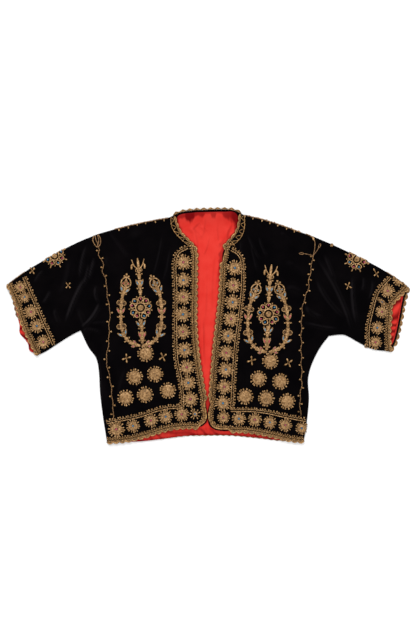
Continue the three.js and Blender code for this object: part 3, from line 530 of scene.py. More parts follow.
def glassBead(name, body, paintedGlint):
    # Small foil-backed glass bead, cut and cemented in its gold cup: clear gloss, with a lighter painted
    # highlight scattered by noise in patches over its body colour.
    material, tree = newMaterial(name)
    place = addNode(tree, "ShaderNodeTexCoord").outputs["Object"]
    flecks = addNode(tree, "ShaderNodeTexNoise", {"Scale": 1 / (2.4 * mm), "Detail": 1.0}, {"Vector": place})
    colour = ramp(tree, flecks.outputs["Fac"], (0.4, body), (0.7, paintedGlint))
    finishMaterial(tree, {"Roughness": 0.22, "Coat Weight": 0.3}, colour)
    return material


velvet = silkVelvet()
satin = redSatin()
goldCord = goldThread("woundGoldThread", "#cda676", "#8f693b", "#201305", 1.0, 0.35, 0.45)
goldLace = goldThread("crochetedGoldEdging", "#cb9c60", "#815d31", "#120a03", 1.2, 0.35, 0.5)
darkCord = goldThread("tarnishedGoldCord", "#a8804f", "#6d4d2d", "#1c1007", 1.1, 0.3, 0.55)
# Each bead's second colour is a painted highlight.
pinkStone = glassBead("pinkGlassBead", "#7d1a36", "#a83a50")
blueStone = glassBead("blueGlassBead", "#174a6c", "#2f7596")
paleStone = glassBead("paleBlueGlassBead", "#336780", "#5c8fa3")
salmonStone = glassBead("salmonGlassBead", "#9c3040", "#bd5656")
# A part's mat counts along this list from 0: cord, pink, blue, pale, salmon, dark.
goldSet = [goldCord, pinkStone, blueStone, paleStone, salmonStone, darkCord]
print("materials made")

# cloth pieces

# Steps of a front's edges from the neck down, and of its grid.
frontSteps = {"neck": 6, "link": 1, "centre": 10, "armhole": 8, "across": 80, "down": 170}


def outerEdge(cut, at, turn):
    # The armhole down to the underarm, where at is turn, then the side down to the hem.
    armhole = curveAt(cut["armhole"], (at / turn).clip(0, 1))
    side = curveAt(cut["side"], ((at - turn) / (at[-1] - turn)).clip(0, 1))
    return np.where((at <= turn)[:, None], armhole, side)


def frontGrid(cut):
    # Inner edge: neck seam, a short link under the collar's end, then the centre edge. Outer edge:
    # armhole, then side. Both are taken at the same share of their steps.
    k = frontSteps
    at = np.linspace(0, k["neck"] + k["link"] + k["centre"], k["down"] + 1)
    link = (at - k["neck"]).clip(0, 1)[:, None]
    neck = curveAt(cut["neck"], (at / k["neck"]).clip(0, 1))
    centre = curveAt(cut["centre"], ((at - k["neck"] - k["link"]) / k["centre"]).clip(0, 1))
    u = np.linspace(0, 1, k["across"] + 1)
    return patch(neck * (1 - link) + centre * link, outerEdge(cut, at, k["armhole"]),
                 curveAt(cut["shoulder"], u), curveAt(cut["hem"], u))


def sheetOver(plan, height, thick):
    # A wall of cloth over a plan, kept clear of the back panel.
    top = np.dstack([plan, height(plan[..., 0], plan[..., 1])])
    under = top.copy()
    under[..., 2] = np.maximum(top[..., 2] - thick, layers["backTop"] + seam)
    return top, under


def makeFronts():
    # Each front is a velvet wall with its own red lining under it.
    for side, cut in (("right", rightCut), ("left", leftCut)):
        top, under = sheetOver(frontGrid(cut), clothHeight, layers["clothThick"])
        # Painted highlight on the front's folds.
        wall = shell(top, under, deep=paintedFoldHighlight(top[..., 0], top[..., 1]))
        piece = makePiece(f"frontPanel_{side}", [wall], [velvet, satin], [f"front_{side}"])


def makeBack():
    # Flat velvet wall under everything.
    t = np.linspace(0, 1, 13)
    neck = curveAt(backCut["neck"], (np.arange(24) + 0.5) / 24)
    top = np.vstack([curveAt(rightCut["shoulder"], 1 - t), neck, curveAt(leftCut["shoulder"], t)])
    sides = [outerEdge(cut, np.linspace(0, 1, 97), 0.5) for cut in (rightCut, leftCut)]
    plan = patch(*sides, top, curveAt(backCut["hem"], np.linspace(0, 1, len(top))))
    upper, lower = (np.dstack([plan, np.full(plan.shape[:2], level)]) for level in (layers["backTop"], 0.0))
    piece = makePiece("backPanel", [shell(upper, lower, (0, 0, 0))], [velvet], ["back"])


wrinkles = np.array([
    # fromX, fromY, toX, toY, bend, rise, half, sharp
    (-6, 150, -16, -40, 5, 1.4, 9, 1.3), (16, 176, 8, 20, -4, 1.1, 8, 1.3),
    (-14, 60, -4, -120, -3, 1.2, 7, 1.4), (6, -20, 2, -200, 2, 1.2, 6, 1.4),
    (-40, 226, -26, 150, 6, 1.9, 9, 1.5), (20, 232, 30, 160, -5, 1.5, 8, 1.4),
    (-52, 214, -10, 186, 6, 1.7, 8, 1.5), (-8, 240, -14, 190, 2, 1.5, 7, 1.4),
    (44, 222, 20, 170, 4, 1.6, 8, 1.5), (56, 228, 40, 180, -4, 2.0, 7, 1.5),
    (26, 110, 12, 0, 3, 1.1, 6, 1.3), (-22, 130, -18, 20, -2, 1.0, 6, 1.3),
    (-24, 228, 4, 206, -4, 1.6, 6, 1.5), (2, 200, -12, 150, 3, 1.4, 6, 1.5),
    (66, 214, 46, 196, 3, 1.6, 5, 1.5), (-66, 206, -30, 170, 4, 1.4, 7, 1.4),
    (30, 150, 18, 80, -3, 1.0, 5, 1.3), (-10, 10, -14, -90, 2, 1.0, 5, 1.4),
    (-120, -236, -96, -256, 0, 1.2, 6, 1.4), (-70, -226, -52, -248, 0, 1.3, 6, 1.4),
    (-36, -222, -22, -246, 2, 1.6, 5, 1.5), (-8, -220, 2, -244, 0, 1.6, 5, 1.5),
    (28, -226, 40, -244, 0, 1.4, 5, 1.4), (64, -230, 82, -246, 0, 1.2, 6, 1.4),
    (100, -234, 124, -250, 0, 1.0, 6, 1.4),
])

# Painted shadow under the collar, in ragged tongues: x, how far down each reaches and how dark it is.
collarShadows = np.array([
    (-70, 12, 0.7), (-58, 10, 0.6), (-50, 12, 0.65), (-47, 19, 1.0), (-40, 21, 1.0), (-31, 19, 1.0),
    (-28, 10, 0.7), (-18, 9, 0.65), (-9, 13, 0.65), (-5, 5, 0.5), (6, 4, 0.45), (9, 15, 0.5),
    (17, 14, 0.5), (20, 4, 0.4), (32, 5, 0.5), (36, 17, 0.65), (50, 20, 0.7), (55, 28, 0.85),
    (62, 32, 1.0), (70, 34, 1.0),
])


def openingGap(x, y):
    # How far inside the front opening a place lies, in mm from the nearer front's edge.
    edges = []
    for cut in (rightCut, leftCut):
        collar, centre = (curveAt(cut[edge], np.linspace(0, 1, steps)) for edge, steps in
                          (("collarEdge", 20), ("centre", 60)))
        line = np.vstack([collar, centre])
        line = line[np.argsort(line[:, 1])]
        edges.append(np.interp(y, line[:, 1], line[:, 0]))
    return np.minimum(x - edges[0], edges[1] - x)


def openness(x, y):
    # 0 under the fronts and 1 well inside the opening.
    return smooth(-1, 9, openingGap(x, y))


# Heights of the satin: its slack in the opening, its slow ripples, its climb to the back collar over
# the last climbFrom mm, and the puckers at the hem.
liningLook = {"slack": 0.6, "ripples": (0.3, 0.25), "climb": 4.6, "climbFrom": 34, "pucker": 0.6}


def liningHeight(x, y):
    # Level satin that wrinkles in the opening, climbs to the collar behind the neck and puckers at
    # the hem.
    look = liningLook
    free = np.maximum(openness(x, y), smooth(-205, -225, y))
    collarLine = 249 - 0.0012 * x**2
    climb = look["climb"] * smooth(collarLine - look["climbFrom"], collarLine, y) ** 1.3 * openness(x, y)
    pucker = look["pucker"] * np.sin(x / 2.9 + 2.2 * np.sin(x / 13)) * smooth(-214, -236, y)
    across, down = look["ripples"]
    soft = across * np.sin(x / 5.2 + 2 * np.sin(y / 31)) + down * np.sin(y / 15 + 1.4 * np.sin(x / 9))
    return layers["liningTop"] + free * (foldHeight(x, y, wrinkles) + soft + look["slack"]) + climb + pucker


# Shares of painted shade, in crimson. For the painted shade on each wrinkle's lee: the share for each
# unit of slope, what is taken off and the most.
liningShadeLook = {"tuckFade": (0.55, 1.15), "lee": (0.42, 0.03, 0.17), "edge": 0.5, "edgeAtChest": 0.15,
              "edgeFade": (5.5, 9.5), "neck": 0.13, "dent": 0.3, "dentAt": (-25, 217), "hem": 0.26,
              "hemTucks": 0.5, "hemEdge": 0.45}


def paintedLiningShade(x, y):
    # Painted shade on the satin, as shares of crimson: shadow in ragged tongues under the collar, on the
    # lee of each wrinkle and along the fronts' edges, behind the neck, and a shadowed hem with painted
    # creases.
    look = liningShadeLook
    below = np.interp(x, *curveAt(liningCut["top"], np.linspace(0, 1, 120)).T) - y
    above = y - np.interp(x, *curveAt(liningCut["hem"], np.linspace(0, 1, 80)).T)
    ragged = 1 + 0.12 * np.sin(x / 2.3 + 1.5 * np.sin(y / 4.1)) + 0.06 * np.sin(x / 0.9 + y / 6)
    reach, dark = (np.interp(x, collarShadows[:, 0], column) for column in collarShadows[:, 1:].T)
    # Painted shadow hanging from the collar in ragged tongues.
    tucks = dark * (1 - smooth(*look["tuckFade"], below / (reach * ragged)))
    # Painted shade on the lee side of each wrinkle.
    perSlope, off, most = look["lee"]
    lee = np.clip(-slopes(liningHeight, x, y, 0.8)[0] * perSlope - off, 0, most)
    waver = 1.5 * np.sin(y / 2.6 + 1.5 * np.sin(y / 19))
    # Painted shadow along the fronts' edges.
    edge = look["edge"] + look["edgeAtChest"] * smooth(20, 50, x) * smooth(150, 200, y)
    edge *= (1 - smooth(*look["edgeFade"], openingGap(x, y) + waver)) * smooth(-222, -200, y)
    # Painted shade behind the neck: the shade of a dent, which the satin's heights don't have, and a band
    # under the collar.
    dentX, dentY = look["dentAt"]
    dent = np.exp(-((x - dentX - 0.9 * (y - dentY)) ** 2) / 9 - ((y - dentY) / 7) ** 2)
    upper = look["neck"] * (1 - smooth(10, 70, below)) + look["dent"] * dent
    # Painted shade at the hem: a band, painted creases and a dark lower edge.
    hemTucks = np.clip(np.sin(x / 7.5 + y / 3.6 + 3 * np.sin(x / 19)), 0, 1) ** 2
    low = smooth(-222, -230, y) * (look["hem"] + look["hemTucks"] * hemTucks)
    low = low + look["hemEdge"] * (1 - smooth(1.0, 5.0, above))
    return np.clip(tucks + lee + edge + upper + low, 0, 1)


def makeBackLining():
    u, v = np.linspace(0, 1, 221), np.linspace(0, 1, 201)
    plan = patch(*(curveAt(liningCut[edge], at) for edge, at in
                   (("rightSide", v), ("leftSide", v), ("top", u), ("hem", u))))
    top, under = sheetOver(plan, liningHeight, layers["liningThick"])
    # The satin's painted shade rides on its points.
    wall = shell(top, under, (0, 0, 0), paintedLiningShade(plan[..., 0], plan[..., 1]))
    piece = makePiece("backLining", [wall], [satin], ["back_lining"])


def sleevePlans(cut, across, along):
    # Two patches with one top fold and one underarm line: the front half and the longer back half.
    # Points crowd towards the two folds, where the wall turns over.
    a = np.linspace(0, 1, across + 1)
    a = 0.5 - 0.5 * np.cos(np.pi * a) * (0.35 + 0.65 * np.abs(np.cos(np.pi * a)) ** 0.5)
    s = np.linspace(0, 1, along + 1)
    shift = np.array([np.sign(cut["sleeveTop"][0][0]) * 0.06, 0.02])
    near, far = curveAt(cut["sleeveTop"], s), curveAt(cut["sleeveUnder"], s)
    armhole = curveAt(cut["armhole"], a)
    return [patch(near, far, armhole, curveAt(cut[cuff], a)) + shift for cuff in ("cuffFront", "cuffBack")]


def makeSleeves():
    # A flattened tube: rings of outer points, over the front and back under the back, and inner
    # points a wall's thickness inside, joined at the armhole and at the cuff.
    wall, middle = layers["sleeveWall"], layers["middle"]
    for side, cut in (("right", rightCut), ("left", leftCut)):
        front, back = sleevePlans(cut, 84, 72)
        outerTop = np.dstack([front, clothHeight(front[..., 0], front[..., 1])])
        near = np.maximum(edgeFoot(back[..., 0], back[..., 1])[0], 0)
        outerLow = np.dstack([back, middle * turnedOver(near)])
        outerTop[:, [0, -1], 2] = outerLow[:, [0, -1], 2] = middle
        inward = (front[:, [-1]] - front[:, [0]]) * [[[1], [-1]]]
        inward /= np.linalg.norm(inward, axis=2, keepdims=True)
        innerTop, innerLow = outerTop.copy(), outerLow.copy()
        for sheet in (innerTop, innerLow):
            sheet[:, [0, -1], :2] += inward * wall
        innerTop[:, 1:-1, 2] = np.maximum(outerTop[:, 1:-1, 2] - wall, middle + 0.05)
        innerLow[:, 1:-1, 2] = np.minimum(outerLow[:, 1:-1, 2] + wall, middle - 0.05)
        rings = [np.concatenate([top, low[:, -2:0:-1]], axis=1)
                 for top, low in ((outerTop, outerLow), (innerTop, innerLow))]
        down, around = rings[0].shape[:2]
        verts = np.vstack([ring.reshape(-1, 3) for ring in rings])
        # Painted highlight on the sleeve's folds, on its outer and inner walls alike.
        foldHighlight = np.tile(paintedFoldHighlight(rings[0][..., 0], rings[0][..., 1]).ravel(), 2)
        i, j = np.meshgrid(np.arange(around), np.arange(down - 1))
        a, b = (j * around + i).ravel(), (j * around + (i + 1) % around).ravel()
        outer = np.stack([a, b, b + around, a + around], axis=1)
        k = np.arange(around)
        n = (k + 1) % around
        inside, last = down * around, (down - 1) * around
        mouth = np.stack([n, k, inside + k, inside + n], axis=1)
        cuffRim = np.stack([last + k, last + n, inside + last + n, inside + last + k], axis=1)
        faces = [outer, outer[:, ::-1] + inside, mouth, cuffRim]
        if side == "right":
            faces = [face[:, ::-1] for face in faces]
        tube = part(verts, faces, deep=foldHighlight, mat=[0, 1, 0, 0])
        piece = makePiece(f"sleeveTube_{side}", [tube], [velvet, satin], [f"sleeve_{side}"])


# The stretch that shows in rows and columns of the back half's grid; how far, in mm, the right one's
# end is drawn in, and its two bulges as height, middle and half width; tucks are waves on each
# cuff, whose valleys also get painted shade.
sleeveLiningLook = {"rows": slice(44, 72), "columns": slice(8, 113), "drawnIn": {"right": 7, "left": 3},
                    "bulges": ((7.5, -15, 14), (9, -53, 9)), "tucks": {"right": 70, "left": 56}}


def makeSleeveLinings():
    # Red satin on the back half, gathered in small tucks where it runs out past the front cuff; painted
    # shade lies in the tucks' valleys and towards the far edge.
    look = sleeveLiningLook
    for side, cut in (("right", rightCut), ("left", leftCut)):
        _, back = sleevePlans(cut, 120, 72)
        plan = back[look["rows"], look["columns"]]
        a = np.linspace(0, 1, plan.shape[1])[None]
        out = plan[-1] - plan[-8]
        out /= np.linalg.norm(out, axis=1, keepdims=True)
        q = np.linspace(0, 1, len(plan))[:, None] ** 3
        further = np.full(a.shape, -float(look["drawnIn"][side]))
        if side == "right":
            end = plan[-1, :, 1][None]
            further += look["drawnIn"][side] * smooth(14, 4, end)
            for height, middle, half in look["bulges"]:
                further += height * np.exp(-((end - middle) / half) ** 2)
        plan = plan + out * (q * further)[..., None]
        line = curveAt(cut["cuffFront"], np.linspace(0, 1, 40))
        beyond = np.abs(plan[..., 0]) - np.interp(plan[..., 1], line[::-1, 1], np.abs(line[::-1, 0]))
        free = smooth(-2.0, 2.5, beyond)
        wave = np.sin(look["tucks"][side] * a + 1.8 * np.sin(11 * a) + beyond / 4.5)
        top = np.dstack([plan, layers["middle"] - 0.3 + free * (1.0 + 0.7 * wave)])
        under = np.dstack([plan, np.full(plan.shape[:2], layers["backTop"] + seam)])
        # Painted shade in the tucks' valleys and towards the far edge.
        hollow = free * np.clip(0.5 - 0.5 * wave + 0.4 * smooth(0.55, 0.95, a), 0, 1)
        piece = makePiece(f"sleeveLining_{side}", [shell(top, under, (0, 0, 0), hollow)], [satin],
                          [f"sleeve_lining_{side}"])


collarLook = {"seam": 0.4, "stand": 5.4, "thick": 1.5}


def collarStand(t):
    # How high the back collar's free edge stands along its length, highest behind the neck.
    return collarLook["stand"] * np.sin(np.pi * t) ** 0.6


def makeCollar():
    # A narrow strip: the fronts lie level with the panels, the back stands up a little behind the neck.
    for side, cut in (("right", rightCut), ("left", leftCut)):
        t = np.linspace(0, 0.998, 60)
        near, edge = curveAt(cut["neck"], t), curveAt(cut["collarEdge"], t)
        near = near + collarLook["seam"] * (edge - near) / np.linalg.norm(edge - near, axis=1, keepdims=True)
        w = np.linspace(0, 1, 9)[None, :, None]
        plan = near[:, None] * (1 - w) + edge[:, None] * w
        wall = shell(*sheetOver(plan, clothHeight, layers["clothThick"]))
        piece = makePiece(f"collarStrip_{side}", [wall], [velvet, satin], [f"collar_{side}"])
    t = np.linspace(0, 1, 80)
    w = np.linspace(0, 1, 13)[None, :]
    near, edge = curveAt(backCut["neck"], t) + [0, collarLook["seam"]], curveAt(backCut["collarEdge"], t)
    plan = near[:, None] * (1 - w[..., None]) + edge[:, None] * w[..., None]
    stand = collarStand(t)[:, None] * w**1.4
    wall = shell(np.dstack([plan, stand + collarLook["thick"]]), np.dstack([plan, stand]), (0, 0, 0))
    piece = makePiece("collarStrip_back", [wall], [velvet], ["collar_back"])


makeBack()
makeBackLining()
makeFronts()
makeSleeves()
makeSleeveLinings()
makeCollar()
print("cloth made")

# building blocks of the gold work: every one lies on z = 0 around its own centre until it is laid


def ringed(rings, uv=None, deep=0.0, mat=0):
    # Skins rings of points (ring, around, xyz) into a tube, and closes each end with one face.
    count, around = rings.shape[:2]
    a = np.arange(around)
    row = np.arange(count - 1)[:, None] * around
    k, n = (row + a).ravel(), (row + (a + 1) % around).ravel()
    faces = [np.stack([k, n, n + around, k + around], axis=1), a[None, ::-1], a[None] + (count - 1) * around]
    return part(rings.reshape(-1, 3), faces, uv, np.asarray(deep).ravel() if np.ndim(deep) else deep, mat)


def cordAlong(path, radius, sides=6, squash=1.0, closed=False, rise=0.75, mat=0, shade=0.0):
    # Round profile carried along a plan path: centre + r cos(a) across + r sin(a) up, its own
    # distance walked as the thread's first coordinate. radius and shade may change along the path.
    path = np.asarray(path, float)
    if path.shape[1] == 2:
        path = np.column_stack([path, np.zeros(len(path))])
    if closed:
        path = np.vstack([path, path[:1]])
        tangent = np.gradient(np.vstack([path[-2:-1], path, path[1:2]])[:, :2], axis=0)[1:-1]
    else:
        tangent = np.gradient(path[:, :2], axis=0)
    tangent /= np.maximum(np.linalg.norm(tangent, axis=1, keepdims=True), 1e-9)
    walked = np.concatenate([[0], np.cumsum(np.linalg.norm(np.diff(path, axis=0), axis=1))])
    r = np.broadcast_to(np.asarray(radius, float), len(path))[:, None]
    angle = -np.linspace(0, 2 * np.pi, sides, endpoint=False)[None]
    across = r * np.cos(angle)
    up = r * squash * np.sin(angle)
    x = path[:, :1] - tangent[:, 1:] * across
    y = path[:, 1:2] + tangent[:, :1] * across
    z = path[:, 2:] + r * squash * rise + up
    uv = np.stack(np.broadcast_arrays(walked[:, None], -angle * 1.2), axis=-1)
    shade = np.broadcast_to(np.asarray(shade, float), len(path))[:, None]
    # Painted shade: the lower half of each ring darker, plus the shade given.
    deep = np.clip(0.45 - 0.45 * np.sin(angle) + shade, 0, 1)
    return ringed(np.stack([x, y, z], axis=-1), uv.reshape(-1, 2), deep, mat)


def routeCord(rows, radius, sides=5, mat=0, step=1.4, squash=1.0):
    # A cord on a smooth route through a few places; its radius may be a function of 0 to 1 along it.
    path = evenPath(rows, step)[0]
    radius = radius(np.linspace(0, 1, len(path))) if callable(radius) else radius
    return cordAlong(path, radius, sides, squash, mat=mat)


def raised(points, z):
    # Plan points at a height of their own.
    return np.column_stack([points, np.full(len(points), z)])


def domeShape(radius, height, sides=8, mat=0, long=1.0):
    # Quarter ellipse turned about z: r cos(t), h sin(t), closed by a small flat on top and one
    # below; long stretches it along x.
    t = np.array([-0.25, 0.35, 0.85, 1.3])
    angle = np.linspace(0, 2 * np.pi, sides, endpoint=False)
    r = radius * np.cos(t)[:, None]
    z = height * np.sin(t)[:, None] + 0 * angle
    rings = np.stack([r * long * np.cos(angle), r * np.sin(angle), z], axis=-1)
    # Painted shade at its foot.
    return ringed(rings, deep=np.repeat([1.0, 0.35, 0.0, 0.0], sides), mat=mat)


def knobShape(reach, stalk, knob, sides=6, lift=0.7):
    # Wound stalk ending in a knot: radius stays thin, swells to the knot and closes, along +x.
    share = np.array([0.0, 0.4, 0.56, 0.74, 0.9, 1.0])
    radius = np.array([stalk, stalk, knob * 0.85, knob, knob * 0.8, knob * 0.3])
    path = np.column_stack([share * reach, 0 * share, 0 * share + lift * stalk])
    # Painted shade, most on the stalk and least on the knot.
    return cordAlong(path, radius, sides, rise=0.55, shade=np.array([0.6, 0.35, 0.0, -0.2, -0.1, 0.1]))


def repeated(shape, x=0.0, y=0.0, turn=0.0, size=1.0, z=0.0):
    # Copies one small shape to many places: scaled, turned about its foot, then moved.
    values = (np.atleast_1d(np.asarray(value, float)) for value in (x, y, turn, size, z))
    x, y, turn, size, z = np.broadcast_arrays(*values)
    v = shape["verts"][None] * size[:, None, None]
    c, s = np.cos(turn)[:, None], np.sin(turn)[:, None]
    verts = np.stack([v[..., 0] * c - v[..., 1] * s + x[:, None], v[..., 0] * s + v[..., 1] * c + y[:, None],
                      v[..., 2] + z[:, None]], axis=-1)
    starts = np.arange(len(x)) * len(shape["verts"])
    faces = [(f[None] + starts[:, None, None]).reshape(-1, f.shape[1]) for f in shape["faces"]]
    uv, deep = np.tile(shape["uv"], (len(x), 1)), np.tile(shape["deep"], len(x))
    return part(verts.reshape(-1, 3), faces, uv, deep, shape["mat"])


def moved(parts, x=0, y=0, turn=0.0, mirror=1, size=1.0):
    # Carries a motif to its place: mirrored and scaled, turned, shifted. A mirrored motif's faces
    # are turned round again.
    c, s = np.cos(turn), np.sin(turn)
    out = []
    for p in parts:
        v = p["verts"] * [mirror * size, size, size]
        verts = np.stack([v[:, 0] * c - v[:, 1] * s + x, v[:, 0] * s + v[:, 1] * c + y, v[:, 2]], axis=1)
        out.append({**p, "verts": verts, "faces": [f[:, ::mirror] for f in p["faces"]]})
    return out


def ring(radius, cord, steps, sides=5, mat=0):
    # A closed loop of cord.
    a = np.linspace(0, 2 * np.pi, steps, endpoint=False)
    return cordAlong(radius * np.column_stack([np.cos(a), np.sin(a)]), cord, sides, closed=True, mat=mat)


# A framed stone from its foot to its middle: share of the outline, height and its painted shade.
stoneProfile = np.array([
    (1.0, 0.0, 1.0), (1.0, 1.05, 0.4), (0.86, 1.65, 0.0), (0.56, 0.75, 0.9), (0.5, 0.825, 0.2),
    (0.275, 1.275, 0.0), (0.12, 1.35, 0.0),
])


def framedStone(reach, half, mat, steps=14):
    # Pointed oval from 0 to reach along +x: (reach/2)(1 + cos a), half sin a |sin a|^0.4, as shares
    # of its outline; a low stone inside, a rolled gold rim outside.
    a = np.linspace(0, 2 * np.pi, steps, endpoint=False)
    outline = np.column_stack([reach / 2 * np.cos(a), half * np.sin(a) * np.abs(np.sin(a)) ** 0.4])
    share, level, dark = stoneProfile.T
    rings = outline[None] * share[:, None, None]
    rings = np.concatenate([rings, np.repeat(level[:, None, None], steps, 1)], axis=2)
    rings[..., 0] += reach / 2
    walked = np.broadcast_to(a * reach / 4, (len(share), steps))
    uv = np.stack([walked, np.repeat(share[:, None] * half, steps, 1)], axis=-1).reshape(-1, 2)
    shape = ringed(rings, uv, np.repeat(dark, steps))
    walls, *ends = shape["faces"]
    rim = 4 * steps
    return {**shape, "faces": [walls[:rim], walls[rim:], *ends], "mat": [0, mat, 0, mat]}


def picotsRound(count, inner, reach, stalk, knob, turn=0.0):
    # Knotted picots standing out from a ring like spokes, none quite as long as the next.
    a = turn + np.arange(count) * 2 * np.pi / count
    a = a + 0.08 * np.sin(5.1 * a + 2 * turn)
    size = 1 + 0.09 * np.sin(3.3 * np.arange(count) + 9 * turn)
    return repeated(knobShape(reach - inner, stalk, knob), inner * np.cos(a), inner * np.sin(a), a, size)


rosetteLook = {"disc": 12.3, "reach": 17.9, "picots": 18, "height": 2.1, "stone": 2.6, "pleats": 18}

# The disc from its foot to its middle: share of the radius, share of the height, depth of the
# pleats in hundredths, and its painted shade.
rosetteProfile = np.array([
    (1.0, 0.0, 4, 0.9), (1.02, 0.55, 6, 0.4), (0.95, 0.95, 5, 0.05), (0.8, 0.86, 4, 0.1),
    (0.62, 0.8, 3, 0.2), (0.5, 0.62, 1, 0.55), (0.4, 1.0, 2, 0.0), (0.28, 0.6, 0, 0.9), (0.14, 0.5, 0, 1.0),
])


def pleatedRosette(mat, turn=0.0, size=1.0):
    # Disc of gathered braid: its profile turned about z, scalloped by its pleats; its thread
    # coordinate turns with the angle, so the winds stand as rays.
    look = rosetteLook
    steps = 2 * look["pleats"]
    a = turn + np.linspace(0, 2 * np.pi, steps, endpoint=False)
    share, level, depth, dark = rosetteProfile.T[..., None]
    fold = np.where(np.arange(steps) % 2, -0.01, 0.01) * depth
    r = look["disc"] * (share + fold * 0.8)
    rings = np.stack([r * np.cos(a), r * np.sin(a), level * look["height"] + fold * 7.0], axis=-1)
    uv = np.stack([np.broadcast_to(a * look["pleats"] / (2 * np.pi), r.shape), r], axis=-1).reshape(-1, 2)
    # Painted shade, more where the pleats sink.
    disc = ringed(rings, uv, np.clip(dark - fold * 9, 0, 1))
    stone = repeated(domeShape(look["stone"], 1.5, 8, mat), turn=turn, z=look["height"] * 0.55)
    picots = picotsRound(look["picots"], look["disc"] - 2.0, look["reach"], 1.3, 1.65, turn)
    return moved([disc, stone, picots], size=size)


coilLook = {"disc": 13.5, "reach": 18.4, "picots": 18, "height": 2.6, "pitch": 2.5, "ridge": 0.45}


def coiledDisc(radius, height, pitch, ridge, steps, turn=0.0):
    # Cord wound flat from its centre: z = h (1 - 0.7 (r/R)^5) + a cos(2 pi (r / pitch - angle / 2 pi)),
    # so the crest is one spiral.
    a = np.linspace(0, 2 * np.pi, steps, endpoint=False)
    inner = np.linspace(radius - 0.4, 0.5, int(radius / pitch * 4.2))
    r = np.concatenate([[radius, radius + 0.1], inner])[:, None]
    phase = 2 * np.pi * (r / pitch) - a - turn
    z = height * (1 - 0.7 * (r / radius) ** 5) + ridge * np.cos(phase)
    z[0] = 0
    rings = np.stack([r * np.cos(a), r * np.sin(a), z], axis=-1)
    uv = np.stack([a * np.maximum(r, 2.0), r + 0 * a], axis=-1).reshape(-1, 2)
    # Painted shade in the groove between the winds and at the disc's foot.
    deep = np.clip(0.22 - 0.34 * np.cos(phase), 0, 1)
    deep[0] = 1
    return ringed(rings, uv, deep)


def coilRosette(turn):
    # The coiled disc with its picots.
    look = coilLook
    disc = coiledDisc(look["disc"], look["height"], look["pitch"], look["ridge"], 32, turn)
    return [disc, picotsRound(look["picots"], look["disc"] - 1.2, look["reach"], 1.15, 1.95, turn)]


def crossKnot(turn, size, reach=(10.4, 10.4, 10.4, 10.4)):
    # Four knotted arms round a small bead, none at quite a right angle to the next.
    a = turn + np.arange(4) * np.pi / 2 + np.array([0.1, -0.14, 0.06, -0.1])
    arms = [repeated(knobShape(r, 1.2, 2.05), turn=t) for r, t in zip(reach, a)]
    return moved([*arms, domeShape(2.6, 2.4)], size=size)


def stackedStem(rows, half=4.6):
    # Bundles of wound wire stacked like cones: three cords that spread as q climbs from 0 to 1 in
    # each cone, side cords at half (0.22 + 0.45 q^1.3), and draw together again.
    points, _, normals, s = evenPath(rows, 1.2)
    count = max(1, round(s[-1] / wreathLook["cone"]))
    q = (s / s[-1] * count) % 1.0
    q[-1] = 1.0
    spread = half * (0.22 + 0.45 * q**1.3)
    # Painted shade at the foot of each cone, under the one before, with a banding along the braid.
    shade = 0.12 + 0.8 * np.clip(1 - q / 0.16, 0, 1) - 0.15 * q + 0.25 * np.sin(2 * np.pi * s / 4.4)
    cords = [(points + side * normals * spread[:, None], 0.32 + 0.08 * q) for side in (1, -1)]
    cords.append((raised(points, 0.7), 0.34 + 0.1 * q))
    return [cordAlong(path, half * share, 6, 0.8, shade=shade) for path, share in cords]


def placesOn(rows, at):
    # Places at distances along a path, with the direction of the path there.
    points, tangents, _, s = evenPath(rows, 0.8)
    x, y, dx, dy = (np.interp(at, s, column) for column in (*points.T, *tangents.T))
    return x, y, np.arctan2(dy, dx)


def pathLength(rows):
    return evenPath(rows, 0.8)[3][-1]


def pairsAlong(rows, shares, half, shape, lean):
    # Pairs of one shape to both sides of a stem, at shares of its length, leaning up along it.
    x, y, along = placesOn(rows, np.asarray(shares) * pathLength(rows))
    return [repeated(shape, x + half * np.cos(along + side * 1.57), y + half * np.sin(along + side * 1.57),
                     along + side * lean) for side in (1, -1)]


# Radii of the boss, the ring and the petals' two ends, and half a petal's width.
medallionLook = {"boss": 6.4, "ring": 10.8, "from": 11.2, "to": 24.4, "half": 5.9, "tip": 26.8,
                 "petals": 9, "fingeredPetals": 8}


def medallion(petalTurn, size=1.0, fingers=False):
    # Wound boss, a dark groove, a gold ring, then petals of doubled cord that each hold a stone near
    # the outer end, with a small knot between two, or a long finger beyond each.
    look = medallionLook
    parts = [coiledDisc(look["boss"], 2.7, 2.3, 0.4, 22), ring(look["ring"], 1.35, 28, 6)]
    count = look["fingeredPetals" if fingers else "petals"]
    uneven = np.sin(2.7 * np.arange(count))
    turns = petalTurn + np.arange(count) * 2 * np.pi / count + 0.07 * uneven
    reach = look["to"] - look["from"]
    a = np.linspace(0, 2 * np.pi, 16, endpoint=False)
    t = (0.5 - 0.5 * np.cos(a)).round(9)
    swell = np.clip(np.sin(np.pi * t**1.25), 0, 1) ** 0.8
    outline = np.column_stack([reach * t, look["half"] * swell * np.sign(np.sin(a))])
    petal = cordAlong(outline, 1.3, closed=True)

    def spread(shape, radius, turns, lean=0.0, size=1.0):
        return repeated(shape, radius * np.cos(turns), radius * np.sin(turns), turns + lean, size)

    parts.append(spread(petal, look["from"], turns, size=1 + 0.07 * uneven))
    for mat in (1, 2):
        stone = domeShape(2.0, 1.9, 8, mat, 1.5)
        parts.append(spread(stone, look["from"] + 0.66 * reach, turns[mat - 1::2], 0.5))
    rim = look["to"] - 3.4
    parts.append(spread(knobShape(look["tip"] - rim, 1.0, 1.5), rim, turns + np.pi / count))
    if fingers:
        parts.append(spread(knobShape(9.0, 1.3, 1.7), look["to"] - 0.6, turns))
    return moved(parts, size=size)


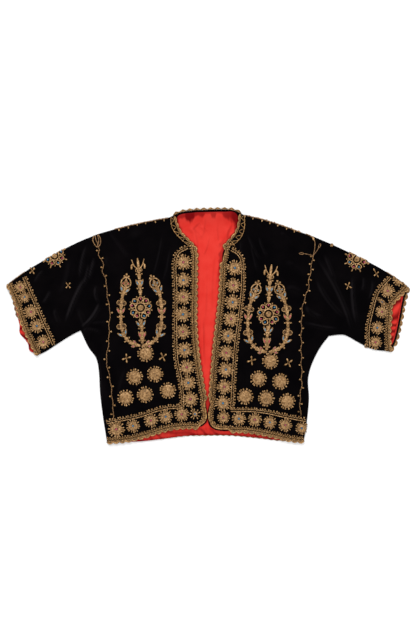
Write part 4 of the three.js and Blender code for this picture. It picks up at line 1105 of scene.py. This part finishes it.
# Routes from the middle of the medallion; leanFrom and leanOver are where a branch starts to lean.
wreathLook = {
    "stemTop": [(0, 26), (-2, 54), (-4, 84)],
    "stemFoot": [(4, -80), (3, -52), (0, -26)],
    "branch": [(3, -84), (17, -80), (30, -73), (39, -61), (44, -47), (46, -29), (46, 0), (44, 17),
               (41.5, 31), (36, 44)],
    "budReach": 23.0, "budHalf": 10.8, "cone": 12.5, "leanFrom": -82, "leanOver": 126,
}


def budFrame(mat):
    # Onion-shaped frame of thick cord, w = 2.13 half t^0.5 (1 - t)^0.6, with four stones in small
    # rings on its bars and three knots at its tip.
    reach, half = wreathLook["budReach"], wreathLook["budHalf"]
    a = np.linspace(0, 2 * np.pi, 28, endpoint=False)
    t = 0.5 - 0.5 * np.cos(a)
    width = 2.13 * half * t**0.5 * (1 - t) ** 0.6 * np.sign(np.sin(a))
    x = reach * np.array([0.2, 0.4, 0.4, 0.6])
    y = half * np.array([0.0, 0.46, -0.46, 0.0])
    parts = [cordAlong(np.column_stack([reach * t, width]), 1.45, 6, closed=True),
             repeated(ring(2.7, 0.8, 8, 4), x, y), repeated(domeShape(1.7, 2.0, 6, mat), x, y),
             cordAlong([(1, 0), (reach * 0.3, 0), (reach * 0.7, 0), (reach + 2, 0)], 1.2, 5)]
    for side in (1, -1):
        bar = [(0.12, 0), (0.36, side * 3.2), (0.62, side * 2.6), (0.85, 0)]
        parts.append(cordAlong([(reach * share, aside) for share, aside in bar], 0.9, 5))
    parts.append(repeated(knobShape(7.0, 1.4, 2.3), reach + 0.8, 0.0, [0.0, 1.3, -1.3], [1.15, 1.0, 1.0]))
    return parts


def crown(x, y):
    # Three prongs over the stem: a spindle between two that lean out and drop a leaf; rings below.
    parts = []
    for lean, drop in ((0.86, 1), (-0.62, -1)):
        near, far = np.pi / 2 + lean, np.pi / 2 + 0.7 * lean
        prong = [(x, y), (x + 13 * np.cos(near), y + 13 * np.sin(near)),
                 (x + 28 * np.cos(far), y + 27 * np.sin(far))]
        parts.append(routeCord(prong, lambda q: 1.7 - 0.7 * q, 6, squash=0.8))
        path = evenPath(prong, 1.4)[0]
        at = path[int(len(path) * 0.62)]
        leaf = [at, at + [-3.2 * drop, -4], at + [-3.6 * drop, -12]]
        parts.append(routeCord(leaf, lambda q: 1.1 + 1.3 * np.sin(0.2 + 2.4 * q), 6, step=1.3, squash=0.7))
    spindle = [(x, y), (x - 1, y + 12), (x - 3, y + 26)]
    parts.append(routeCord(spindle, lambda q: 1.0 + 2.1 * np.sin(0.35 + 2.65 * q), 7, squash=0.6))
    parts.append(repeated(ring(3.0, 0.95, 10), [x - 4.4, x + 4.2], [y - 1.5, y]))
    return parts


def wreath(budMats, leafMats, budTurns, lean):
    # A stem through the medallion under a crown, and two branches rising to a bud; cones, knots,
    # curls and leaves stand in pairs at set shares of each branch.
    look = wreathLook
    knob, (leaf, blush) = knobShape(6.0, 1.2, 1.9), (framedStone(reach, 2.6, mat) for reach, mat in
                                                     zip((16.5, 16.0), leafMats))
    path = [(x - lean * ((y - look["leanFrom"]) / look["leanOver"]) ** 3, y) for x, y in look["branch"]]
    # what stands beside a route: shares of its length, how far out, shape and lean
    stem = [(look["stemTop"], [0.26, 0.8], 2.0, knob, 1.2), (look["stemFoot"], [0.12, 0.62], 2.2, knob, 1.2),
            (look["stemTop"], [0.36], 2.2, leaf, 0.36), (look["stemFoot"], [0.7], 2.6, leaf, 0.5),
            (look["stemFoot"], [0.24], 2.4, blush, 0.36)]
    sprigs = [([0.21, 0.56, 0.9], 2.6, knob, 1.25), ([0.43, 0.77], 5.2, ring(4.9, 1.0, 14), 0),
              ([0.43, 0.77], 5.2, ring(2.3, 0.75, 9, mat=5), 0), ([0.61], 2.2, blush, 0.42),
              ([0.28, 0.92], 2.4, leaf, 0.55), ([0.07], 3.2, framedStone(10, 2.8, 1, 12), 0.4)]
    parts = medallion(np.pi / 2) + stackedStem(look["stemTop"]) + stackedStem(look["stemFoot"])
    parts += [p for row in stem for p in pairsAlong(*row)] + crown(-4, 83)
    branch = stackedStem(path, 4.4) + [p for row in sprigs for p in pairsAlong(path, *row)]
    buds = [moved(moved(budFrame(mat), turn=turn), *path[-1]) for mat, turn in zip(budMats, budTurns)]
    return parts + branch + buds[0] + moved(branch + buds[1], 3, mirror=-1)


# trims that follow an edge

# Distances from the route to the cord and to the knots, radii, and the knots' length and spacing.
braidLook = {"cordAt": 4.1, "cord": 1.0, "knotFrom": -0.5, "knotCord": 0.9, "knotReach": 5.2, "stalk": 1.1,
             "knot": 1.75, "pitch": 6.0}


def offsetPath(rows, away, step=1.3, wave=0.0, pitch=1.0, phase=0.0):
    # The path moved sideways, with a waver of its own: away + wave sin(2 pi s / pitch + phase).
    points, _, normals, s = evenPath(rows, step)
    return points + normals * (away + wave * np.sin(2 * np.pi * s / pitch + phase))[:, None]


def knotRow(rows, away, side, pitch, shape, lean=0.0):
    # Knots at even steps beside a path, all pointing to one side, each a little off true.
    count = int(pathLength(rows) / pitch)
    x, y, along = placesOn(rows, (np.arange(count) + 0.5) * pathLength(rows) / count)
    i = np.arange(count)
    across = along + np.pi / 2
    turn = across + (0 if side > 0 else np.pi) + lean + 0.3 * np.sin(i * 2.3)
    size = 1 + 0.16 * np.sin(i * 1.7)
    return repeated(shape, x + away * np.cos(across), y + away * np.sin(across), turn, size)


def braid(rows, side):
    # Braid: a plain cord on the channel's side, a dark gap, and a row of fat knots on a thin cord
    # that points away from the channel.
    look = braidLook
    knot = knobShape(look["knotReach"], look["stalk"], look["knot"])
    foot = side * look["knotFrom"]
    return [cordAlong(offsetPath(rows, side * look["cordAt"], wave=0.45, pitch=5.3), look["cord"]),
            cordAlong(offsetPath(rows, foot, wave=1.0, pitch=look["pitch"], phase=1.2), look["knotCord"], 5),
            knotRow(rows, foot, -side, look["pitch"], knot, 0.25)]


# In mm out from the cloth's edge, or lengths along it: net is the lace's mesh, drawnIn how far the
# work is drawn in at the lower front corners.
edgingLook = {"past": 0.6, "scallop": 5.4, "pitch": 13.6, "rope": 1.6, "plait": 2.0, "plaitAt": -4.4,
              "plaitPitch": 10.6, "beads": 5.3, "combsAt": -5.8, "combs": 5.6, "net": 4.8, "drawnIn": 4.6,
              "step": 1.3}

# Where it is drawn in: up to cornerX from the middle, fading over corner and tip; and on the left
# beside the chest, between chestFrom and chestTo. Pairs are where a change starts and ends.
drawnLook = {"cornerX": {"right": 20, "left": 50}, "corner": (-174, -160), "tip": (-216, -204),
             "chestX": (28, 34), "chestFrom": (132, 146), "chestTo": (164, 172)}


def edgingLine(rows):
    # The edge path, its normals, its distances and how far it is drawn back, 0 to 1.
    look = drawnLook
    points, _, normals, s = evenPath(rows, edgingLook["step"])
    x, y = points.T
    limit = np.where(x > 0, look["cornerX"]["left"], look["cornerX"]["right"])
    corner = (1 - smooth(limit - 6, limit + 4, np.abs(x))) * (1 - smooth(*look["corner"], y))
    corner *= 1 - 0.2 * smooth(*look["tip"], y)
    chest = smooth(*look["chestX"], x) * smooth(*look["chestFrom"], y) * (1 - smooth(*look["chestTo"], y))
    return points, normals, s, np.maximum(corner, chest)


def crochetEdging(rows, side, depth=edgingLook["scallop"], narrow=False):
    # Crocheted edging, w running out from the cloth's edge: knots point in to the channel, two cords
    # plait in opposite phase w = -4.4 +- 2 sin(2 pi s / 10.6) round bright beads, a cord covers the
    # seam, and lace runs out to the scalloped rope e(s) = 0.6 + depth |sin(pi s / pitch)|^0.6. A
    # narrow one has neither knots nor plait.
    look = edgingLook
    points, normals, s, back = edgingLine(rows)
    pitch = s[-1] / max(1, round(s[-1] / look["pitch"]))
    lobe = np.abs(np.sin(np.pi * s / pitch)) ** 0.6
    edge = look["past"] + depth * lobe * (1 - back) - 5.0 * back
    inner = -0.3 - 6.0 * back
    w = inner[:, None] + (edge - inner)[:, None] * np.linspace(0, 1, 6)
    mesh = np.maximum(*(np.abs(np.cos(np.pi * (s[:, None] + way * w) / look["net"])) for way in (1, -1)))
    top = 0.35 + 0.75 * mesh**5
    top[:, [0, -1]] = 0.2
    plan = points[:, None] + side * normals[:, None] * w[..., None]
    # Painted shade between the stitches, where the lace sinks.
    dark = np.clip(1.4 - 1.3 * mesh**5, 0, 1)
    lace = shell(np.dstack([plan, top]), np.dstack([plan, 0 * top]), (0, 0, 0), dark)
    lace["uv"] = np.tile(np.stack([s[:, None] + w * 0.8, w], axis=-1).reshape(-1, 2), (2, 1))

    def line(away, radius, sides=5, shade=0.0):
        return cordAlong(points + side * normals * away[:, None], radius, sides, shade=shade)

    # Painted shade on the rope in the valleys between scallops.
    valleys = np.clip(1 - lobe / 0.6, 0, 1)
    parts = [lace, line(edge - 0.4, look["rope"], 6, 0.6 * valleys - 0.1), line(inner, 0.65)]
    if not narrow:
        ripple = look["plait"] * np.sin(2 * np.pi * s / look["plaitPitch"])
        middle = look["plaitAt"] - look["drawnIn"] * back
        drawn = (points - side * normals * (look["drawnIn"] * back)[:, None])[::3]
        beads = knotRow(drawn, side * look["plaitAt"], 1, look["beads"], domeShape(1.35, 2.4, 6, 1))
        combs = knotRow(drawn, side * look["combsAt"], -side, look["combs"], knobShape(3.7, 0.8, 1.45), 0.2)
        parts += [line(middle + ripple, 0.6), line(middle - ripple, 0.6), beads, {**combs, "mat": 1}]
    return parts


def tipEdging(rows, side, depth, pitch, foot, low=0.0, blunt=1.0):
    # Row of tips: the edge runs out depth (1 - |2 t - 1|^blunt) in each pitch, with a cord along it.
    points, _, normals, s = evenPath(rows, edgingLook["step"])
    pitch = s[-1] / max(1, round(s[-1] / pitch))
    t = (s / pitch) % 1.0
    edge = (1.0 + depth * (1 - np.abs(2 * t - 1) ** blunt))[:, None]
    w = foot + (edge - foot) * np.linspace(0, 1, 5)
    plan = points[:, None] + side * normals[:, None] * w[..., None]
    relief = np.abs(np.cos(np.pi * (s[:, None] + w) / 3.2))
    top = low + 0.4 + 0.55 * relief
    # Painted shade in the hollows of the strip's relief.
    strip = shell(np.dstack([plan, top]), np.dstack([plan, 0 * top + low]), (0, 0, 0), 0.8 - 0.7 * relief)
    strip["uv"] = np.tile(np.stack([s[:, None] + w, w], axis=-1).reshape(-1, 2), (2, 1))
    return [strip, cordAlong(raised(points + side * normals * (edge - 0.3), low + 0.2), 0.85, 5)]


# where each trim runs; right and left are the wearer's

# hand turns a trim to its side: on the right front the cloth lies to the left of an edge that runs
# down. first is the stone that a row of rosettes starts with, 1 pink and 2 blue. A cross is its
# place, turn, size and, where they differ, the lengths of its arms.
trims = {
    "right": {
        "cut": rightCut, "hand": 1, "first": 1,
        "innerBraid": [(-45, 172), (-64, 161), (-72, 145), (-71, 60), (-72, -7), (-69, -79), (-61, -118),
                       (-57, -155), (-56, -180)],
        "hemBraid": [(-52, -178), (-85, -180), (-113, -186), (-148, -198), (-186, -206), (-222, -213)],
        "frontRosettes": [(-53, 138), (-53, 98.6), (-53, 61.4), (-54, 23.5), (-54, -15), (-50.5, -55),
                          (-45.4, -93), (-42, -127), (-37.6, -163)],
        "hemRosettes": [(-56.8, -196.3), (-92, -201.3), (-124.3, -209.7), (-163.7, -221.8), (-200.3, -229)],
        "hemSizes": (0.93, 0.9, 0.9, 0.86, 1.06), "cornerStar": (-27.5, -195.7),
        "cuffBraid": [(-402, 106), (-388, 74), (-368, 28), (-352, -8), (-337, -42)],
        "cuffRosettes": [(-411, 83), (-402, 61), (-388, 29), (-375, -2), (-361, -37)],
        "cuffSizes": (0.78, 0.72, 0.92, 0.9, 0.87), "pinched": None,
        "coils": [(-136, -63), (-160, -114), (-115, -108), (-180, -160), (-137, -153), (-87, -144)],
        "crosses": [(-178, -73, 0.2, 1), (-98, -70, 0.55, 1)],
        "sleeveCrosses": [(-385, 119, 0.7, 0.8), (-306, 87, 0.8, 0.75)], "tuft": None,
        "wreath": (-147, 38), "buds": (3, 4), "leaves": (3, 4), "budTurns": (2.03, 1.66), "lean": 0.0,
        "sleeveMedallion": (-336, 152), "petalTurn": -0.3,
        "vine": [(-240, 173), (-238.5, 164), (-239.5, 156), (-234, 145), (-229, 133), (-229, 125),
                 (-231, 118), (-228, 109), (-223, 100), (-222, 91), (-221, 72), (-218, 51), (-214, 28),
                 (-216, 5), (-217, -37), (-222, -78), (-213, -125), (-209, -165), (-207, -190),
                 (-207, -206)],
        "vinePitch": 20.0,
        "shoulderCord": [(-86, 234), (-118, 228.5), (-157, 220.5), (-204, 209)], "shoulderPitch": 20.0,
    },
    "left": {
        "cut": leftCut, "hand": -1, "first": 2,
        "innerBraid": [(53, 167), (66, 160), (76, 146), (79, 120), (78, 75), (70, 5), (63, -50), (58, -125),
                       (55, -186)],
        "hemBraid": [(51, -186), (93, -186), (129, -190), (166, -198), (215, -208)],
        "frontRosettes": [(60, 125.5), (57, 87), (55.2, 50), (51.7, 13.3), (45.5, -23.6), (41.4, -61),
                          (40.5, -98), (36.8, -136), (34, -172)],
        "hemRosettes": [(35, -203), (69, -206), (104, -208), (137, -214), (171, -220), (207, -227)],
        "hemSizes": (0.8, 0.9, 0.88, 0.84, 0.86, 0.8), "cornerStar": None,
        "cuffBraid": [(400, 106), (373, 74), (360, 33), (351, -12), (352, -50)],
        "cuffRosettes": [(421, 100), (396, 75), (383.5, 50.5), (383, 29), (373, -6), (369, -38)],
        "cuffSizes": (0.85, 0.9, 0.84, 0.82, 0.84, 0.82), "pinched": 2,
        "coils": [(138, -79), (112, -118), (160, -124), (83, -157), (129, -161), (175, -168)],
        "crosses": [(97, -78, 0.2, 1), (178, -83, 0.5, 1)],
        "sleeveCrosses": [(371, 112.5, 0.65, 0.75, (9.5, 18, 9.5, 12)), (309, 86, 1.12, 0.85)],
        "tuft": (272.7, 174.6),
        "wreath": (134, 24), "buds": (3, 3), "leaves": (3, 4), "budTurns": (1.84, 1.83), "lean": 6.0,
        "sleeveMedallion": (328, 144), "petalTurn": 0.44,
        "vine": [(232, 152), (229, 139), (228.5, 127), (226, 115), (223, 97), (221, 78), (214, 60),
                 (209, 40), (207, 12), (206, -30), (206, -75), (207, -125), (203, -165), (204, -184),
                 (204.5, -199)],
        "vinePitch": 14.0,
        "shoulderCord": [(78, 241), (120, 231), (160, 218.5), (205, 202)], "shoulderPitch": 9.0,
    },
}


def rosettesAt(places, first, sizes, pinched=None):
    # One pleated rosette at each place, pink and blue stones in turn; the pinched one is squeezed
    # between its neighbours.
    parts = []
    for i, ((x, y), size) in enumerate(zip(places, sizes)):
        rosette = pleatedRosette(first if i % 2 == 0 else 3 - first, 0.37 * i + 0.2, size)
        if i == pinched:
            rosette = moved([{**p, "verts": p["verts"] * [1, 0.36, 1]} for p in rosette], turn=-0.76)
        parts += moved(rosette, x, y)
    return parts


def starRosette(mat):
    # Small star for a corner too tight for a rosette.
    disc = coiledDisc(5.6, 1.6, 2.4, 0.4, 20)
    return [disc, picotsRound(9, 5.0, 12.6, 0.9, 1.5, 0.3), repeated(domeShape(2.2, 1.6, 8, mat), z=1.6)]


def goldWork(name, side, parts, node, copies=0, materials=goldSet, wrap=False):
    # Lays gold work on the cloth as one piece, which stands for one plain node or its numbered copies.
    nodes = [f"{node}_{side}_{i + 1}" for i in range(copies)] or [f"{node}_{side}"]
    makePiece(f"{name}_{side}", laid(parts, wrap=wrap), materials, nodes)


def makeBands():
    for side, trim in trims.items():
        hand, first = trim["hand"], trim["first"]
        parts = braid(trim["innerBraid"], hand) + braid(trim["hemBraid"], hand)
        parts += rosettesAt(trim["frontRosettes"], first, (1.0, 0.96, 1.0) * 3)
        parts += rosettesAt(trim["hemRosettes"], 1, trim["hemSizes"])
        if trim["cornerStar"]:
            x, y = trim["cornerStar"]
            parts += moved(starRosette(2), x, y)
            parts.append(routeCord([(x - 10, y + 17), (x - 5, y + 9), (x, y)], 0.8))
        goldWork("frontBandWork", side, parts, "front_band", wrap=True)
        parts = braid(trim["cuffBraid"], -hand)
        parts += rosettesAt(trim["cuffRosettes"], first, trim["cuffSizes"], trim["pinched"])
        fold = curveAt(trim["cut"]["sleeveTop"], np.linspace(0.78, 0.99, 26)) + [0, -1.0]
        parts.append(cordAlong(fold, 0.9, 5, mat=5))
        goldWork("cuffBandWork", side, parts, "cuff_band", wrap=True)


tipLook = {
    "right": {"depth": 3.0, "pitch": 12.6, "foot": 0.6, "low": 0.3},
    "left": {"depth": 5.6, "pitch": 14.3, "foot": 0.6, "low": 0.3, "blunt": 2.4},
    "collar": {"depth": 4.0, "pitch": 15.5, "foot": 0.1},
    "hem": {"depth": 1.6, "pitch": 13.0, "foot": 0.2, "low": 0.3},
}


def overEdge(x, y):
    # Edging keeps the top layer's level past its edges.
    return np.full_like(x, layers["clothTop"])


def collarFront(cut, outward):
    # Narrow edging, a cord by the seam, a zigzag between them, and at the lower end two cords that
    # cross, with two domes on the seam between collar and centre edge.
    seamRows, edgeRows = cut["neck"], cut["collarEdge"]
    a, b = alongPath(seamRows, 11), alongPath(edgeRows, 11)
    zigzag = np.where((np.arange(11) % 2)[:, None] == 0, a + 0.1 * (b - a), b - 0.25 * (b - a))
    tail, end = np.array(seamRows[-1]), np.array(edgeRows[-1])
    crossed = [[tail, 0.4 * tail + 0.6 * end - [0, 3], end - [0, 18]],
               [tail - [0, 4], 0.5 * tail + 0.5 * end + [0, 7], end + [0, 3]]]
    parts = crochetEdging(edgeRows, outward, 3.4, narrow=True)
    parts.append(cordAlong(offsetPath(seamRows, outward * 1.2, 2.0, 0.3, 9.0), 0.78))
    parts += [routeCord(zigzag, 0.66)] + [routeCord(rows, 0.75) for rows in crossed]
    domes = [share * tail + (1 - share) * end for share in (0.15, 0.47)]
    return parts + [repeated(domeShape(2.8, 2.4), *place) for place in domes]


def makeEdgings():
    lace = [goldLace, goldCord]
    for side, trim in trims.items():
        cut, hand = trim["cut"], trim["hand"]
        opening = cut["collarEdge"][-1:] + cut["centre"][1:] + cut["hem"][1:]
        makePiece(f"openingEdging_{side}", laid(crochetEdging(opening, hand), 0.2, overEdge), lace,
                  [f"front_edging_{side}"])
        makePiece(f"cuffEdging_{side}", laid(crochetEdging(cut["cuffFront"], -hand), 0.2, overEdge), lace,
                  [f"cuff_edging_{side}"])
        if side == "right":
            tips = tipEdging(alongPath(cut["cuffBack"], 60)[:27], -hand, **tipLook[side])
        else:
            tips = tipEdging(cut["cuffBack"], -hand, **tipLook[side])
            tips.append(cordAlong(raised(offsetPath(cut["cuffBack"], -1.5, 2.0), 2.2), 1.9, 6, 0.7, mat=1))
        makePiece(f"cuffTips_{side}", tips, [goldLace, velvet], [f"cuff_edging_back_{side}"])
        makePiece(f"collarWork_{side}", laid(collarFront(cut, hand), 0.2), [goldLace],
                  [f"collar_trim_{side}"])
    t = np.linspace(0, 1, 60)
    edgeX = curveAt(backCut["collarEdge"], t)[:, 0]
    tips = tipEdging(backCut["collarEdge"], 1, **tipLook["collar"])
    tips = laid(tips, 0.0, lambda x, y: np.interp(x, edgeX, collarStand(t) + 1.6))
    makePiece("collarTips_back", tips, [goldLace], ["collar_edging_back"])
    tips = tipEdging(backCut["hem"], -1, **tipLook["hem"])
    makePiece("hemTips_back", tips, [goldLace], ["hem_edging_back"])


def makeMotifs():
    for side, trim in trims.items():
        hand = trim["hand"]
        tree = wreath(trim["buds"], trim["leaves"], trim["budTurns"], trim["lean"])
        goldWork("wreathWork", side, moved(tree, *trim["wreath"], mirror=hand), "wreath")
        coils = [p for i, place in enumerate(trim["coils"]) for p in moved(coilRosette(0.7 * i), *place)]
        goldWork("coilRosettes", side, coils, "rosette", len(trim["coils"]), [goldCord])
        crosses, sleeveCrosses = ([p for x, y, *shape in trim[rows] for p in moved(crossKnot(*shape), x, y)]
                                  for rows in ("crosses", "sleeveCrosses"))
        goldWork("crosses", side, crosses, "cross", 2, [goldCord])
        if trim["tuft"]:
            tuft = repeated(knobShape(3.4, 1.0, 1.5), turn=np.arange(5) * 1.26)
            sleeveCrosses += moved([tuft], *trim["tuft"])
        goldWork("sleeveCrosses", side, sleeveCrosses, "sleeve_cross", 2, [goldCord], True)
        petals = moved(medallion(trim["petalTurn"], 0.88, True), *trim["sleeveMedallion"], mirror=hand)
        goldWork("sleeveMedallionWork", side, petals, "sleeve_medallion", wrap=True)


def vineCord(rows, pitch, cord, shape, waver, crowd=1.0):
    # A wavering cord with a knot to either side in turn, at length (i / count)^crowd of it.
    points, _, normals, s = evenPath(rows, 1.6)
    aside = waver * np.sin(2 * np.pi * s / 31) + 0.4 * np.sin(2 * np.pi * s / 7)
    points = points + normals * aside[:, None]
    i = np.arange(int(s[-1] / pitch))
    x, y, along = placesOn(rows, ((i + 0.5) / len(i)) ** crowd * s[-1])
    turn = along + np.where(i % 2, 1.57, -1.57) + 0.3 * np.sin(i * 2.1)
    return [cordAlong(points, cord, mat=1), repeated(shape, x, y, turn)]


def endLoop(x, y, long, wide, turn):
    # Slim closed loop that ends an arm: an ellipse turned to the arm's direction.
    t = np.linspace(0, 2 * np.pi, 16, endpoint=False)
    loop = cordAlong(np.column_stack([long * np.cos(t), wide * np.sin(t)]), 0.85, closed=True, mat=1)
    return moved([loop], x, y, turn)[0]


# ends are the cords that finish the vine at the shoulder: three loops on the right, three arms on
# the left, two of which end in a slim loop: place, half length, half width and turn.
vineLook = {
    "right": {
        "knot": (6.4, 1.2, 2.1), "waver": 0.8, "crowd": 1.0, "endCord": 1.05, "endStep": 1.4,
        "ends": [[(-240, 198), (-236, 192), (-234.7, 183), (-236.7, 175.5), (-242.3, 171.4), (-248.5, 178),
                  (-252, 187), (-249, 194.5)], [(-246.5, 195), (-244.8, 186), (-241.5, 180), (-242.3, 172)],
                 [(-240.8, 196), (-239.2, 188), (-239.4, 180), (-242.3, 172)]], "endLoops": [],
    },
    "left": {
        "knot": (6.0, 1.1, 1.9), "waver": 1.1, "crowd": 1.26, "endCord": 0.95, "endStep": 1.5,
        "ends": [[(215.5, 199.6), (229, 192.5), (233, 189), (236, 180.5), (234, 159), (232, 152.5)],
                 [(232, 152.5), (217, 156), (212.5, 157)],
                 [(232, 152.5), (236.5, 158), (241, 164), (244.2, 170)]],
        "endLoops": [(206.5, 157.0, 5.1, 1.8, 3.05), (246.3, 174.3, 4.7, 1.8, 1.13)],
    },
}


def makeVines():
    for side, trim in trims.items():
        look = vineLook[side]
        knot = knobShape(*look["knot"])
        parts = vineCord(trim["vine"], trim["vinePitch"], 0.85, knot, look["waver"], look["crowd"])
        parts += [routeCord(rows, look["endCord"], 6, 1, look["endStep"]) for rows in look["ends"]]
        parts += [endLoop(*loop) for loop in look["endLoops"]]
        if side == "left":
            parts.append(repeated(domeShape(2.2, 2.2, 8, 0, 1.9), 232.5, 189.0, 2.0))
        goldWork("vineWork", side, parts, "vine", materials=[goldCord, darkCord], wrap=True)
        rows, pitch, knot = trim["shoulderCord"], trim["shoulderPitch"], knobShape(4.4, 0.8, 1.5)
        parts = vineCord(rows, pitch, 1.0, knot, 0.2)
        if side == "right":
            parts[1] = knotRow(rows, 0.0, 1, pitch, knot)
        else:
            studs = repeated(knobShape(5.5, 0.9, 1.6), [91.0, 146.0], [238.5, 224.0], 1.1)
            parts.append({**studs, "mat": 2})
        cords = [goldCord, darkCord, satin]
        goldWork("shoulderCordWork", side, parts, "shoulder_cord", materials=cords, wrap=True)


makeBands()
makeEdgings()
makeMotifs()
makeVines()
print("gold work made")

# floor, light and camera

# Metres and watts: two soft lamps and an even sky, and a camera that looks straight down.
studio = {"floor": "#f6f6f6", "floorHalf": 4.0, "lampSize": 2.2, "sky": 0.75,
          "lamps": {"keyLight": ((-0.5, 1.9, 2.1), 60.0), "fillLight": ((0.9, -1.6, 2.4), 26.0)},
          "lens": 105.06, "sensor": 36.0, "camera": (0.0011, 0.0297, 4.0)}


def makeFloor():
    # A flat sheet of pale paper.
    half = studio["floorHalf"]
    mesh = bpy.data.meshes.new("studioFloor")
    corners = [(-half, -half, 0), (half, -half, 0), (half, half, 0), (-half, half, 0)]
    mesh.from_pydata(corners, [], [(0, 1, 2, 3)])
    material, tree = newMaterial("backdropPaper")
    values = {"Base Color": linear(studio["floor"]), "Roughness": 0.9, "Specular IOR Level": 0.1}
    finishMaterial(tree, values)
    mesh.materials.append(material)
    floor = bpy.data.objects.new("studioFloor", mesh)
    bpy.context.scene.collection.objects.link(floor)


def areaLight(name, place, size, energy):
    # A square lamp that shines at the middle of the jacket.
    data = bpy.data.lights.new(name, "AREA")
    data.energy, data.size = energy, size
    lamp = bpy.data.objects.new(name, data)
    lamp.location = place
    lamp.rotation_euler = (-mathutils.Vector(place)).to_track_quat("-Z", "Y").to_euler()
    bpy.context.scene.collection.objects.link(lamp)


def makeStudio():
    for name, (place, energy) in studio["lamps"].items():
        areaLight(name, place, studio["lampSize"], energy)
    scene = bpy.context.scene
    scene.world = bpy.data.worlds.new("studioAir")
    scene.world.use_nodes = True
    sky = scene.world.node_tree.nodes["Background"]
    sky.inputs["Color"].default_value = (1, 1, 1, 1)
    sky.inputs["Strength"].default_value = studio["sky"]
    scene.view_settings.view_transform = "Standard"
    data = bpy.data.cameras.new("camera")
    data.lens, data.sensor_width, data.sensor_fit = studio["lens"], studio["sensor"], "AUTO"
    camera = bpy.data.objects.new("camera", data)
    camera.location = studio["camera"]
    scene.collection.objects.link(camera)
    scene.camera = camera


makeFloor()
makeStudio()
print("studio made")
